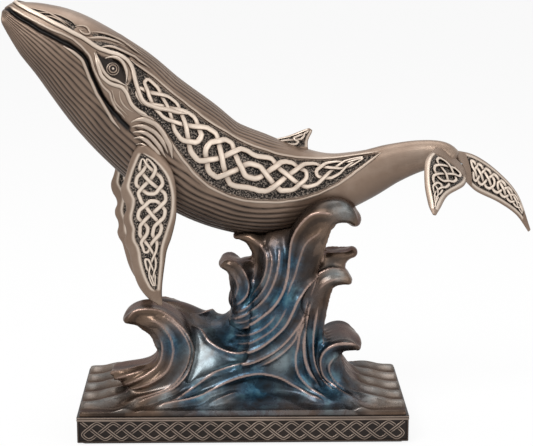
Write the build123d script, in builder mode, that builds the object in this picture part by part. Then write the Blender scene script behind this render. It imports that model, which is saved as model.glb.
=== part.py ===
"""A whale leaping over curling waves on a plinth: cast pieces, pinned and glued together.

X runs from the head to the tail, Y away from the viewer and Z up. The origin is the middle
of the felt's underside. Lengths are in millimetres.
"""

import os
from math import cos, radians, sin

from build123d import *

# Plinth and felt
BASE_LENGTH = 165.0
BASE_DEPTH = 85.0
PLINTH_HEIGHT = 13.3
PLINTH_CORNER = 1.5
PLINTH_BEVEL = 0.8
FRIEZE_BORDER = 2.0
FRIEZE_DEPTH = 0.8
FELT_THICKNESS = 1.0
FELT_MARGIN = 2.5

# Sea: the swell on the plinth, the mound in its middle and the crests that rise from them
SWELL_HEIGHT = 16.0
SWELL_MARGIN = 1.0
SWELL_CORNER = 6.0
WAVE_RISE = 105.0
CREST_THICKNESS = 20.0
CREST_WIDTH = 44.0
CREST_ROUND_SHARE = 0.45
MOUND_DEPTH = 52.0

# Whale
WHALE_LENGTH = 226.0
WHALE_RISE = 115.0
SIDE_SWING = 18.0
BODY_HEIGHT = 57.6
BODY_WIDTH = 49.0
PANEL_SINK = 1.1
MOUTH_WIDTH = 2.0
PLEAT_RADIUS = 0.9
FLIPPER_LENGTH = 85.0
FLIPPER_CHORD = 29.0
FLIPPER_THICKNESS = 7.0
FLUKE_SPAN = 100.0
FLUKE_THICKNESS = 6.0
FIN_LENGTH = 32.0
FIN_HEIGHT = 9.0
FIN_THICKNESS = 5.0

# Steel rods and pins that hold the castings together
ROD_RADIUS = 2.0
ROD_FLOOR = 3.0
ROD_OFFSET = 9.5
ROD_SPACING = 9.0
PIN_RADIUS = 1.5
PIN_LENGTH = 14.0

# Crest stations, foot to tip: place along X as a share of the base's length, height above the
# plinth as a share of the rise, thickness and width as shares of the crest's own
LEFT_BREAKER_SHARES = [
    (-0.242, 0.020, 1.05, 0.72),
    (-0.222, 0.185, 1.00, 0.70),
    (-0.208, 0.290, 0.93, 0.68),
    (-0.232, 0.372, 0.85, 0.68),
    (-0.264, 0.412, 0.72, 0.66),
    (-0.307, 0.432, 0.54, 0.62),
    (-0.344, 0.422, 0.34, 0.56),
    (-0.364, 0.406, 0.13, 0.46),
]
LOWER_RIGHT_BREAKER_SHARES = [
    (0.318, 0.000, 0.85, 0.98),
    (0.290, 0.100, 0.75, 0.98),
    (0.268, 0.185, 0.60, 0.98),
    (0.270, 0.250, 0.50, 0.98),
    (0.298, 0.280, 0.40, 0.96),
    (0.336, 0.275, 0.30, 0.90),
    (0.363, 0.262, 0.14, 0.80),
]
MID_LEFT_CURL_SHARES = [
    (-0.018, 0.360, 0.50, 0.74),
    (0.002, 0.475, 0.45, 0.74),
    (-0.006, 0.560, 0.42, 0.72),
    (-0.018, 0.625, 0.38, 0.70),
    (-0.042, 0.663, 0.30, 0.64),
    (-0.069, 0.660, 0.14, 0.54),
]
UPPER_LEFT_CURL_SHARES = [
    (0.012, 0.360, 0.60, 0.55),
    (0.053, 0.440, 0.60, 0.55),
    (0.074, 0.536, 0.60, 0.55),
    (0.077, 0.640, 0.60, 0.55),
    (0.065, 0.733, 0.50, 0.53),
    (0.035, 0.789, 0.40, 0.50),
    (0.000, 0.803, 0.26, 0.42),
    (-0.024, 0.797, 0.14, 0.30),
]
UPPER_RIGHT_HOOK_SHARES = [
    (0.118, 0.330, 0.80, 0.85),
    (0.141, 0.490, 0.80, 0.92),
    (0.165, 0.620, 0.90, 1.00),
    (0.183, 0.732, 0.95, 1.02),
    (0.203, 0.834, 0.95, 1.04),
    (0.233, 0.910, 0.80, 1.02),
    (0.274, 0.940, 0.70, 0.96),
    (0.317, 0.922, 0.56, 0.86),
    (0.349, 0.870, 0.22, 0.68),
]
MID_RIGHT_FINGER_SHARES = [
    (0.200, 0.620, 0.50, 0.50),
    (0.263, 0.680, 0.40, 0.48),
    (0.304, 0.686, 0.30, 0.44),
    (0.343, 0.718, 0.13, 0.36),
]
MID_RIGHT_CURL_SHARES = [
    (0.225, 0.020, 0.90, 0.70),
    (0.203, 0.188, 0.80, 0.68),
    (0.201, 0.318, 0.75, 0.66),
    (0.213, 0.439, 0.70, 0.64),
    (0.228, 0.532, 0.65, 0.62),
    (0.254, 0.592, 0.54, 0.60),
    (0.298, 0.607, 0.42, 0.56),
    (0.334, 0.578, 0.18, 0.46),
]

# How far each crest's middle stands from the centre line, as a share of the base's depth
LEFT_BREAKER_SIDE_SHARE = -0.13
LOWER_RIGHT_BREAKER_SIDE_SHARE = -0.01
MID_LEFT_CURL_SIDE_SHARE = -0.03
UPPER_LEFT_CURL_SIDE_SHARE = -0.035
UPPER_RIGHT_HOOK_SIDE_SHARE = -0.02
MID_RIGHT_FINGER_SIDE_SHARE = -0.01
MID_RIGHT_CURL_SIDE_SHARE = -0.07

# Mound outlines, back to front: a side share of the mound's depth, then points round the
# outline as shares of the base's length and of the rise
MOUND_SHARES = [
    (0.50, [(0.21, 0.04), (0.19, 0.18), (0.17, 0.36), (0.15, 0.50), (0.11, 0.52), (0.08, 0.48),
            (0.06, 0.40), (0.02, 0.33), (-0.05, 0.30), (-0.12, 0.30), (-0.18, 0.25), (-0.21, 0.04)]),
    (0.20, [(0.26, 0.04), (0.21, 0.30), (0.19, 0.60), (0.16, 0.86), (0.08, 0.86), (0.05, 0.70),
            (0.03, 0.54), (0.00, 0.41), (-0.06, 0.37), (-0.14, 0.40), (-0.20, 0.43), (-0.23, 0.04)]),
    (-0.15, [(0.26, 0.04), (0.21, 0.30), (0.19, 0.60), (0.16, 0.86), (0.08, 0.86), (0.05, 0.70),
             (0.03, 0.52), (0.00, 0.36), (-0.06, 0.31), (-0.14, 0.33), (-0.19, 0.31), (-0.22, 0.04)]),
    (-0.50, [(0.22, 0.04), (0.20, 0.12), (0.19, 0.24), (0.18, 0.33), (0.16, 0.36), (0.13, 0.33),
             (0.11, 0.27), (0.08, 0.20), (0.01, 0.16), (-0.08, 0.17), (-0.17, 0.14), (-0.20, 0.04)]),
]

# Swell stations: height, length and depth as shares of the swell's own
SWELL_SHARES = [(0.0, 1.0, 1.0), (0.12, 0.96, 0.95), (0.5, 0.64, 0.68), (1.0, 0.34, 0.42)]

# Whale stations, snout to tail: place along the whale, swing to the side and rise, all from
# the seat over the waves, then height and width of the section
SEAT_PLACE_SHARE = 0.033
SEAT_RISE_SHARE = 1.043
BODY_SHARES = [
    (-0.5390, -0.72, 0.779, 0.09, 0.12),
    (-0.5270, -0.72, 0.764, 0.22, 0.28),
    (-0.4700, -0.61, 0.691, 0.505, 0.54),
    (-0.4010, -0.50, 0.594, 0.71, 0.74),
    (-0.3125, -0.33, 0.430, 0.905, 0.92),
    (-0.2385, -0.19, 0.286, 0.965, 0.98),
    (-0.1665, -0.08, 0.167, 1.00, 1.00),
    (-0.0900, 0.00, 0.063, 0.955, 0.98),
    (0.0000, 0.055, 0.000, 0.915, 0.92),
    (0.0730, 0.11, -0.019, 0.815, 0.80),
    (0.1640, 0.165, -0.010, 0.59, 0.57),
    (0.2420, 0.195, 0.028, 0.45, 0.41),
    (0.3110, 0.195, 0.083, 0.355, 0.31),
    (0.3750, 0.14, 0.120, 0.28, 0.25),
    (0.4250, 0.00, 0.128, 0.23, 0.23),
    (0.4535, -0.165, 0.097, 0.175, 0.25),
]
SHOULDER_STATION = 5

# Outline of the sunk knot panel on each flank, from its front over the top and back along its
# foot, and the line of the mouth: place along the whale and rise
PANEL_TOP_SHARES = [
    (-0.250, 0.540),
    (-0.191, 0.454),
    (-0.102, 0.313),
    (-0.022, 0.211),
    (0.071, 0.140),
    (0.185, 0.108),
    (0.280, 0.140),
]
PANEL_FOOT_SHARES = [
    (0.280, 0.140),
    (0.201, 0.030),
    (0.115, -0.034),
    (0.019, -0.045),
    (-0.069, -0.002),
    (-0.129, 0.090),
    (-0.170, 0.200),
    (-0.203, 0.330),
    (-0.250, 0.540),
]
MOUTH_SHARES = [
    (-0.545, 0.800),
    (-0.479, 0.730),
    (-0.394, 0.642),
    (-0.363, 0.594),
    (-0.332, 0.444),
    (-0.272, 0.289),
]

# Throat pleats: their turns from the middle of the back, in degrees, and the stations they pass
PLEAT_TURNS = (112, 136, 160)
PLEAT_STATIONS = range(1, 5)
FIN_STATION = 9
TAIL_STATION = len(BODY_SHARES) - 1

# Flipper outline, root to tip: place along it, leading edge and trailing edge across it
FLIPPER_SHARES = [
    (0.000, -0.24, 0.31),
    (0.120, -0.31, 0.355),
    (0.220, -0.486, 0.397),
    (0.290, -0.548, 0.40),
    (0.370, -0.472, 0.39),
    (0.465, -0.555, 0.360),
    (0.535, -0.479, 0.310),
    (0.605, -0.555, 0.250),
    (0.675, -0.448, 0.205),
    (0.770, -0.410, 0.155),
    (0.865, -0.338, 0.115),
    (0.940, -0.217, 0.080),
]
FLIPPER_FACE_SHARE = 0.72
# Flipper roots from the shoulder station, as shares of the body's length, width and height,
# and the lean of each flipper as shares of its length
LEFT_FLIPPER_ROOT_SHARES = (0.012, -0.48, -0.09)
LEFT_FLIPPER_LEAN_SHARES = (0.045, 0.024)
RIGHT_FLIPPER_ROOT_SHARES = (-0.030, 0.42, -0.19)
RIGHT_FLIPPER_LEAN_SHARES = (0.10, 0.080)
PIN_DROP_SHARE = 0.04
TAIL_PIN_SEAT_SHARE = 0.75

# Fluke stations from the tail's end, root to tip: leading edge and trailing edge as shares of
# the fluke span, then the thickness
LEFT_FLUKE_SHARES = [
    ((-0.100, 0.000, 0.082), (0.055, -0.020, -0.064), 1.00),
    ((-0.167, -0.140, 0.040), (0.027, -0.140, -0.092), 0.90),
    ((-0.186, -0.280, -0.051), (-0.069, -0.280, -0.114), 0.70),
    ((-0.179, -0.400, -0.133), (-0.120, -0.400, -0.152), 0.45),
    ((-0.165, -0.460, -0.168), (-0.147, -0.460, -0.174), 0.15),
]
RIGHT_FLUKE_SHARES = [
    ((-0.020, 0.020, 0.065), (0.055, -0.010, -0.095), 1.00),
    ((0.106, 0.070, 0.026), (0.116, 0.040, -0.157), 0.90),
    ((0.234, 0.120, -0.067), (0.236, 0.100, -0.224), 0.75),
    ((0.347, 0.160, -0.196), (0.340, 0.150, -0.302), 0.50),
    ((0.424, 0.190, -0.388), (0.412, 0.188, -0.400), 0.15),
]

# Dorsal fin outline from the seat: along the fin's length and up its height
FIN_PLACE_SHARE = -0.008
FIN_FOOT_SHARE = 0.168
FIN_SHARES = [
    (0.00, 0.42),
    (0.31, 0.52),
    (0.62, 0.60),
    (0.90, 1.00),
    (1.00, 0.86),
    (0.91, 0.20),
    (0.93, -0.60),
    (0.20, -0.60),
]

plinth_top = FELT_THICKNESS + PLINTH_HEIGHT
seat = Vector(SEAT_PLACE_SHARE * BASE_LENGTH, 0, plinth_top + SEAT_RISE_SHARE * WAVE_RISE)


def whale_point(place: float, swing: float, rise: float) -> Vector:
    """A point of the whale, from its shares along, to the side and up."""
    return seat + Vector(place * WHALE_LENGTH, swing * SIDE_SWING, rise * WHALE_RISE)


def wave_point(place: float, side: float, rise: float) -> Vector:
    """A point of the sea, from its shares along, to the side and up."""
    return Vector(place * BASE_LENGTH, side * BASE_DEPTH, plinth_top + rise * WAVE_RISE)


def square_planes(points: list) -> list:
    """Planes square to a bent line, with their X axes across it."""
    last = len(points) - 1
    planes = []
    for index, point in enumerate(points):
        along = (points[min(index + 1, last)] - points[max(index - 1, 0)]).normalized()
        across = Vector(0, 1, 0)
        across = across - along * across.dot(along)
        planes.append(Plane(origin=point, x_dir=across, z_dir=along))
    return planes


def horn(points: list, widths: list, heights: list) -> Part:
    """A smooth horn of oval sections along a bent line."""
    with BuildPart() as form:
        for plane, width, height in zip(square_planes(points), widths, heights):
            with BuildSketch(plane):
                Ellipse(width / 2, height / 2)
        loft()
    return form.part


def crest(stations: list, side: float) -> Part:
    """One curling crest of rounded blade sections from its stations."""
    points = [wave_point(place, side, rise) for place, rise, thickness, width in stations]
    with BuildPart() as form:
        for plane, (place, rise, thickness, width) in zip(square_planes(points), stations):
            blade = thickness * CREST_THICKNESS
            with BuildSketch(plane):
                RectangleRounded(width * CREST_WIDTH, blade, CREST_ROUND_SHARE * blade)
        loft()
    return form.part


def seated(form: Part, *neighbours: Part) -> Solid:
    """The main solid of a form once its neighbours are cut out of it."""
    with BuildPart() as piece:
        add(form)
        for neighbour in neighbours:
            add(neighbour, mode=Mode.SUBTRACT)
    return piece.part.solids().sort_by(SortBy.VOLUME)[-1]


def flipper(root: Vector, lean_along: float, lean_out: float) -> Part:
    """A long flipper with a knobbed leading edge, thickest along its middle."""
    down = Vector(lean_along, lean_out, -1).normalized()
    across = Vector(1, 0, 0)
    across = across - down * across.dot(down)
    blade = Plane(origin=root, x_dir=across, z_dir=across.cross(down * -1))
    tip = (0, -FLIPPER_LENGTH)
    with BuildPart() as form:
        for layer, share in ((-0.5, FLIPPER_FACE_SHARE), (0, 1), (0.5, FLIPPER_FACE_SHARE)):
            lead = [(share * c * FLIPPER_CHORD, -d * FLIPPER_LENGTH) for d, c, t in FLIPPER_SHARES]
            trail = [(share * t * FLIPPER_CHORD, -d * FLIPPER_LENGTH) for d, c, t in FLIPPER_SHARES]
            with BuildSketch(blade.offset(layer * FLIPPER_THICKNESS)):
                with BuildLine():
                    Spline(*lead, tip)
                    Spline(tip, *reversed(trail))
                    Line(trail[0], lead[0])
                make_face()
        loft()
    return form.part


def fluke(root: Vector, stations: list) -> Part:
    """One tail fluke, a tapering blade of oval sections between its two edges."""
    edges = []
    for lead, trail, thickness in stations:
        edges.append((root + Vector(*lead) * FLUKE_SPAN, root + Vector(*trail) * FLUKE_SPAN))
    middles = [(lead + trail) * 0.5 for lead, trail in edges]
    last = len(stations) - 1
    with BuildPart() as form:
        for index, (lead, trail) in enumerate(edges):
            chord = trail - lead
            along = middles[min(index + 1, last)] - middles[max(index - 1, 0)]
            outward = along - chord * (along.dot(chord) / chord.dot(chord))
            with BuildSketch(Plane(origin=middles[index], x_dir=chord, z_dir=outward)):
                Ellipse(chord.length / 2, stations[index][2] * FLUKE_THICKNESS / 2)
        loft()
    return form.part


def pin(start: Vector, direction: Vector, length: float, radius: float) -> Part:
    """A round steel pin from a point along a direction."""
    with BuildPart() as form:
        with BuildSketch(Plane(origin=start, z_dir=direction)):
            Circle(radius)
        extrude(amount=length)
    return form.part


os.makedirs("parts", exist_ok=True)

body_points = [whale_point(place, swing, rise) for place, swing, rise, height, width in BODY_SHARES]
body_heights = [height * BODY_HEIGHT for place, swing, rise, height, width in BODY_SHARES]
body_widths = [width * BODY_WIDTH for place, swing, rise, height, width in BODY_SHARES]
body_form = horn(body_points, body_widths, body_heights)
shoulder = body_points[SHOULDER_STATION]
tail = body_points[TAIL_STATION]


def flipper_root(along: float, out: float, up: float) -> Vector:
    """Where a flipper leaves the shoulder."""
    return shoulder + Vector(along * WHALE_LENGTH, out * BODY_WIDTH, up * BODY_HEIGHT)


left_root = flipper_root(*LEFT_FLIPPER_ROOT_SHARES)
right_root = flipper_root(*RIGHT_FLIPPER_ROOT_SHARES)
pin_drop = Vector(0, 0, -PIN_DROP_SHARE * FLIPPER_LENGTH)

# Two rods stand in the plinth, run up through the waves and hold the whale
rod_bottom = FELT_THICKNESS + ROD_FLOOR
rod_top = seat.Z
rod_place = seat.X + ROD_OFFSET
with BuildPart() as support_rods:
    with BuildSketch(Plane.XY.offset(rod_bottom)):
        with Locations((rod_place, 0), (rod_place + ROD_SPACING, 0)):
            Circle(ROD_RADIUS)
    extrude(amount=rod_top - rod_bottom)
support_rods.part.label = "support_rods"
export_step(support_rods.part, "parts/support_rods.step")

with BuildPart() as flipper_pins:
    add(pin(left_root + pin_drop, Vector(0, 1, 0), PIN_LENGTH, PIN_RADIUS))
    add(pin(right_root + pin_drop, Vector(0, -1, 0), PIN_LENGTH, PIN_RADIUS))
flipper_pins.part.label = "flipper_pins"
export_step(flipper_pins.part, "parts/flipper_pins.step")

tail_direction = (tail - body_points[TAIL_STATION - 1]).normalized()
with BuildPart() as tail_pin:
    tail_pin_start = tail - tail_direction * (TAIL_PIN_SEAT_SHARE * PIN_LENGTH)
    add(pin(tail_pin_start, tail_direction, PIN_LENGTH, PIN_RADIUS))
tail_pin.part.label = "tail_pin"
export_step(tail_pin.part, "parts/tail_pin.step")

# The knot panels and the mouth are sunk into both flanks down to a slimmer body
slim_widths = [width - 2 * PANEL_SINK for width in body_widths]
slim_heights = [height - 2 * PANEL_SINK for height in body_heights]
slim_form = horn(body_points, slim_widths, slim_heights)
flank = Plane(origin=seat, x_dir=(1, 0, 0), z_dir=(0, -1, 0))


def flank_points(shares: list) -> list:
    """Points of a line drawn on the flank, from its shares along and up."""
    return [(place * WHALE_LENGTH, rise * WHALE_RISE) for place, rise in shares]


with BuildPart() as panel_cut:
    with BuildSketch(flank):
        with BuildLine():
            Spline(*flank_points(PANEL_TOP_SHARES))
            Spline(*flank_points(PANEL_FOOT_SHARES))
        make_face()
    extrude(amount=BODY_WIDTH, both=True)
    add(slim_form, mode=Mode.SUBTRACT)

with BuildPart() as mouth_cut:
    with BuildSketch(flank):
        with BuildLine():
            Spline(*flank_points(MOUTH_SHARES))
        trace(line_width=MOUTH_WIDTH)
    extrude(amount=BODY_WIDTH, both=True)
    add(slim_form, mode=Mode.SUBTRACT)


def pleat(turn: float) -> Part:
    """A groove along the belly at a turn from the middle of the back."""
    points = []
    for station in PLEAT_STATIONS:
        across = cos(radians(90 + turn)) * body_widths[station] / 2
        up = sin(radians(90 + turn)) * body_heights[station] / 2
        points.append(body_planes[station].from_local_coords((across, up, 0)))
    girths = [2 * PLEAT_RADIUS for point in points]
    return horn(points, girths, girths)


body_planes = square_planes(body_points)
pleats = [pleat(side * turn) for turn in PLEAT_TURNS for side in (1, -1)]
hollows = (panel_cut.part, mouth_cut.part, *pleats, support_rods.part, flipper_pins.part, tail_pin.part)
with BuildPart() as whale_body:
    add(seated(body_form, *hollows))
whale_body.part.label = "whale_body"
export_step(whale_body.part, "parts/whale_body.step")

with BuildPart() as left_flipper:
    add(seated(flipper(left_root, *LEFT_FLIPPER_LEAN_SHARES), body_form, flipper_pins.part))
left_flipper.part.label = "left_flipper"
export_step(left_flipper.part, "parts/left_flipper.step")

with BuildPart() as right_flipper:
    add(seated(flipper(right_root, *RIGHT_FLIPPER_LEAN_SHARES), body_form, flipper_pins.part))
right_flipper.part.label = "right_flipper"
export_step(right_flipper.part, "parts/right_flipper.step")

with BuildPart() as left_fluke:
    add(seated(fluke(tail, LEFT_FLUKE_SHARES), body_form, tail_pin.part))
left_fluke.part.label = "left_fluke"
export_step(left_fluke.part, "parts/left_fluke.step")

with BuildPart() as right_fluke:
    add(seated(fluke(tail, RIGHT_FLUKE_SHARES), body_form, tail_pin.part, left_fluke.part))
right_fluke.part.label = "right_fluke"
export_step(right_fluke.part, "parts/right_fluke.step")

fin_foot = whale_point(FIN_PLACE_SHARE, BODY_SHARES[FIN_STATION][1], FIN_FOOT_SHARE)
fin_outline = [(along * FIN_LENGTH, up * FIN_HEIGHT) for along, up in FIN_SHARES]
with BuildPart() as fin_form:
    with BuildSketch(Plane(origin=fin_foot, x_dir=(1, 0, 0), z_dir=(0, -1, 0))):
        with BuildLine():
            Spline(*fin_outline[:6])
            Polyline(*fin_outline[5:], fin_outline[0])
        make_face()
    extrude(amount=FIN_THICKNESS / 2, both=True)
with BuildPart() as dorsal_fin:
    add(seated(fin_form.part, body_form))
dorsal_fin.part.label = "dorsal_fin"
export_step(dorsal_fin.part, "parts/dorsal_fin.step")

with BuildPart() as felt_pad:
    with BuildSketch():
        RectangleRounded(BASE_LENGTH - 2 * FELT_MARGIN, BASE_DEPTH - 2 * FELT_MARGIN, PLINTH_CORNER)
    extrude(amount=FELT_THICKNESS)
felt_pad.part.label = "felt_pad"
export_step(felt_pad.part, "parts/felt_pad.step")

# A bevelled block with a sunk frieze panel on each of its four sides
frieze_height = PLINTH_HEIGHT - 2 * FRIEZE_BORDER
frieze_middle = FELT_THICKNESS + PLINTH_HEIGHT / 2
front_face = Plane(origin=(0, -BASE_DEPTH / 2, frieze_middle), x_dir=(1, 0, 0), z_dir=(0, -1, 0))
back_face = Plane(origin=(0, BASE_DEPTH / 2, frieze_middle), x_dir=(-1, 0, 0), z_dir=(0, 1, 0))
left_face = Plane(origin=(-BASE_LENGTH / 2, 0, frieze_middle), x_dir=(0, -1, 0), z_dir=(-1, 0, 0))
right_face = Plane(origin=(BASE_LENGTH / 2, 0, frieze_middle), x_dir=(0, 1, 0), z_dir=(1, 0, 0))
with BuildPart() as plinth:
    with BuildSketch(Plane.XY.offset(FELT_THICKNESS)):
        RectangleRounded(BASE_LENGTH, BASE_DEPTH, PLINTH_CORNER)
    extrude(amount=PLINTH_HEIGHT)
    chamfer(plinth.faces().sort_by(Axis.Z)[-1].edges(), PLINTH_BEVEL)
    for face, width in (
        (front_face, BASE_LENGTH),
        (back_face, BASE_LENGTH),
        (left_face, BASE_DEPTH),
        (right_face, BASE_DEPTH),
    ):
        with BuildSketch(face):
            Rectangle(width - 2 * (FRIEZE_BORDER + PLINTH_CORNER), frieze_height)
        extrude(amount=-FRIEZE_DEPTH, mode=Mode.SUBTRACT)
    add(support_rods.part, mode=Mode.SUBTRACT)
plinth.part.label = "plinth"
export_step(plinth.part, "parts/plinth.step")

swell_length = BASE_LENGTH - 2 * (PLINTH_BEVEL + SWELL_MARGIN)
swell_depth = BASE_DEPTH - 2 * (PLINTH_BEVEL + SWELL_MARGIN)
with BuildPart() as swell_form:
    for height, length, depth in SWELL_SHARES:
        with BuildSketch(Plane.XY.offset(plinth_top + height * SWELL_HEIGHT)):
            RectangleRounded(length * swell_length, depth * swell_depth, SWELL_CORNER)
    loft()
with BuildPart() as sea_swell:
    add(seated(swell_form.part, support_rods.part))
sea_swell.part.label = "sea_swell"
export_step(sea_swell.part, "parts/sea_swell.step")

hook_form = crest(UPPER_RIGHT_HOOK_SHARES, UPPER_RIGHT_HOOK_SIDE_SHARE)
with BuildPart() as upper_right_hook:
    add(seated(hook_form, body_form, support_rods.part))
upper_right_hook.part.label = "upper_right_hook"
export_step(upper_right_hook.part, "parts/upper_right_hook.step")

upper_left_form = crest(UPPER_LEFT_CURL_SHARES, UPPER_LEFT_CURL_SIDE_SHARE)
with BuildPart() as upper_left_curl:
    add(seated(upper_left_form, body_form, hook_form, support_rods.part))
upper_left_curl.part.label = "upper_left_curl"
export_step(upper_left_curl.part, "parts/upper_left_curl.step")

mid_left_form = crest(MID_LEFT_CURL_SHARES, MID_LEFT_CURL_SIDE_SHARE)
with BuildPart() as mid_left_curl:
    add(seated(mid_left_form, upper_left_form, support_rods.part))
mid_left_curl.part.label = "mid_left_curl"
export_step(mid_left_curl.part, "parts/mid_left_curl.step")

mid_right_form = crest(MID_RIGHT_CURL_SHARES, MID_RIGHT_CURL_SIDE_SHARE)
with BuildPart() as mid_right_curl:
    add(seated(mid_right_form, swell_form.part, hook_form, support_rods.part))
mid_right_curl.part.label = "mid_right_curl"
export_step(mid_right_curl.part, "parts/mid_right_curl.step")

finger_form = crest(MID_RIGHT_FINGER_SHARES, MID_RIGHT_FINGER_SIDE_SHARE)
with BuildPart() as mid_right_finger:
    add(seated(finger_form, hook_form, mid_right_form))
mid_right_finger.part.label = "mid_right_finger"
export_step(mid_right_finger.part, "parts/mid_right_finger.step")

lower_right_form = crest(LOWER_RIGHT_BREAKER_SHARES, LOWER_RIGHT_BREAKER_SIDE_SHARE)
with BuildPart() as lower_right_breaker:
    add(seated(lower_right_form, swell_form.part, mid_right_form))
lower_right_breaker.part.label = "lower_right_breaker"
export_step(lower_right_breaker.part, "parts/lower_right_breaker.step")

left_breaker_form = crest(LEFT_BREAKER_SHARES, LEFT_BREAKER_SIDE_SHARE)
with BuildPart() as left_breaker:
    add(seated(left_breaker_form, swell_form.part, left_flipper.part))
left_breaker.part.label = "left_breaker"
export_step(left_breaker.part, "parts/left_breaker.step")

# The mound fills the middle of the sea, from the front slope to the column under the whale
with BuildPart() as mound_form:
    for side, outline in MOUND_SHARES:
        corners = [(place * BASE_LENGTH, rise * WAVE_RISE) for place, rise in outline]
        slice_origin = (0, side * MOUND_DEPTH, plinth_top)
        with BuildSketch(Plane(origin=slice_origin, x_dir=(1, 0, 0), z_dir=(0, -1, 0))):
            with BuildLine():
                Spline(*corners)
                Line(corners[-1], corners[0])
            make_face()
    loft()
crest_forms = (
    hook_form,
    upper_left_form,
    mid_left_form,
    mid_right_form,
    finger_form,
    lower_right_form,
    left_breaker_form,
)
with BuildPart() as wave_mound:
    add(seated(mound_form.part, swell_form.part, body_form, *crest_forms, support_rods.part))
wave_mound.part.label = "wave_mound"
export_step(wave_mound.part, "parts/wave_mound.step")
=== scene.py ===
"""A cast whale leaping over patinated waves on a knotwork plinth, dressed around its solids.

Lengths are in millimetres and become metres where a mesh is written. X runs from the head to the
tail, Y away from the viewer and Z up. Points called pixels are places in the 533 by 446 photograph.
"""
import logging
import math
from dataclasses import dataclass
from enum import Enum

import bpy
import numpy as np
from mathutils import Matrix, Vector
from mathutils.bvhtree import BVHTree
from mathutils.kdtree import KDTree


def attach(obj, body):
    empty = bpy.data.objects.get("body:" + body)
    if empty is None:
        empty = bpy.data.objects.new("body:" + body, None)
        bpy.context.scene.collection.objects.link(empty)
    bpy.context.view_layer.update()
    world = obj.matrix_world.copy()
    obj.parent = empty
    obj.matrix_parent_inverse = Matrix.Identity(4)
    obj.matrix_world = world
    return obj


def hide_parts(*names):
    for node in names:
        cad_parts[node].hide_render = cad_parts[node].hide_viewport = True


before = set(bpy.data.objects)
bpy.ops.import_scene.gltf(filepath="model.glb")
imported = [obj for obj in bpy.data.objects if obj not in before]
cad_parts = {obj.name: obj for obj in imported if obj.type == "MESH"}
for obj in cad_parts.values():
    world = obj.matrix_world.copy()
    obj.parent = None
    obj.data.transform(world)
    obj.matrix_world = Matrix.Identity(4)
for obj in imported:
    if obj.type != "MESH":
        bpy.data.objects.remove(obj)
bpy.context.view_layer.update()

LOG = logging.getLogger("whale")
Array = np.ndarray
MM = 0.001
TAU = 2.0 * math.pi
PHOTO_WIDTH = 533
PHOTO_HEIGHT = 446

# Sizes shared by several pieces
BASE_LENGTH = 165.0
BASE_DEPTH = 85.0
PLINTH_TOP = 14.3
WAVE_RISE = 105.0
SEAT = np.array([5.445, 0.0, 123.815])
WHALE_LENGTH = 226.0
WHALE_RISE = 115.0
SIDE_SWING = 18.0
BODY_HEIGHT = 57.6
BODY_WIDTH = 49.0


class Slot(Enum):
    """Names of material slots for the dressed pieces; each is passed to settle, which does not use it."""

    WHALE = "whale_bronze"
    SEA = "sea_patina"
    PLINTH = "plinth_bronze"


class Side(Enum):
    """The two flanks of the whale, as the sign of the turn from its back."""

    NEAR = 1
    FAR = -1


def linear(code: str) -> tuple:
    """Turns an sRGB hex colour into linear red, green, blue and alpha.

    Args:
        code: six hex digits after a hash sign.
    Returns:
        Four numbers for a colour socket.
    """
    parts = [int(code[place:place + 2], 16) / 255.0 for place in (1, 3, 5)]
    return (*[p / 12.92 if p <= 0.04045 else ((p + 0.055) / 1.055) ** 2.4 for p in parts], 1.0)


def ease(value: Array, low: float, high: float) -> Array:
    """A smooth step from 0 at low to 1 at high."""
    share = np.clip((np.asarray(value, float) - low) / (high - low), 0.0, 1.0)
    return share * share * (3.0 - 2.0 * share)


def unit(vectors: Array) -> Array:
    """Vectors at length one."""
    return vectors / np.maximum(np.linalg.norm(vectors, axis=-1, keepdims=True), 1e-9)


def curve_at(points: Array, at: Array, closed: bool = False) -> Array:
    """Reads a smooth curve that passes through points.

    Args:
        points: rows to pass through.
        at: places on the curve, where row k is at k.
        closed: whether the curve returns to its first row.
    Returns:
        One row for each place.
    """
    points = np.asarray(points, float)
    if closed:
        padded = np.vstack([points[-1:], points, points[:2]])
    else:
        padded = np.vstack([2 * points[0] - points[1], points, 2 * points[-1] - points[-2]])
    cell = np.clip(np.floor(at).astype(int), 0, len(padded) - 4)
    part = (np.asarray(at, float) - cell)[:, None]
    first, second, third, fourth = (padded[cell + step] for step in range(4))
    bend = 2 * first - 5 * second + 4 * third - fourth
    twist = 3 * second - first - 3 * third + fourth
    return second + 0.5 * part * (third - first + part * (bend + part * twist))


def even_points(points: Array, step: float) -> Array:
    """Evenly spaced rows on a smooth open curve through points.

    Args:
        points: rows to pass through.
        step: the distance between the new rows, in the rows' own unit.
    Returns:
        The new rows.
    """
    fine = curve_at(points, np.linspace(0, len(points) - 1, 24 * len(points)))
    reach = np.concatenate([[0.0], np.cumsum(np.linalg.norm(np.diff(fine, axis=0), axis=1))])
    count = max(int(reach[-1] / step), 4)
    wanted = np.linspace(0.0, reach[-1], count + 1)
    return np.stack([np.interp(wanted, reach, column) for column in fine.T], axis=1)


def deselect() -> None:
    """Clears the selection, because the frame's nodes come in selected."""
    bpy.ops.object.select_all(action="DESELECT")


def read_points(piece: bpy.types.Object) -> Array:
    """A piece's vertices in metres, one row each.

    Args:
        piece: the mesh to read.
    Returns:
        The rows.
    """
    flat = np.empty(3 * len(piece.data.vertices))
    piece.data.vertices.foreach_get("co", flat)
    return flat.reshape(-1, 3)


def write_points(piece: bpy.types.Object, points: Array) -> None:
    """Moves a piece's vertices to points in millimetres."""
    piece.data.vertices.foreach_set("co", (points * MM).ravel())
    piece.data.update()


def write_layer(piece: bpy.types.Object, name: str, values: Array) -> None:
    """Keeps one number for each vertex, for the finish to read."""
    layer = piece.data.attributes.get(name) or piece.data.attributes.new(name, "FLOAT", "POINT")
    layer.data.foreach_set("value", np.asarray(values, np.float32))


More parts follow.
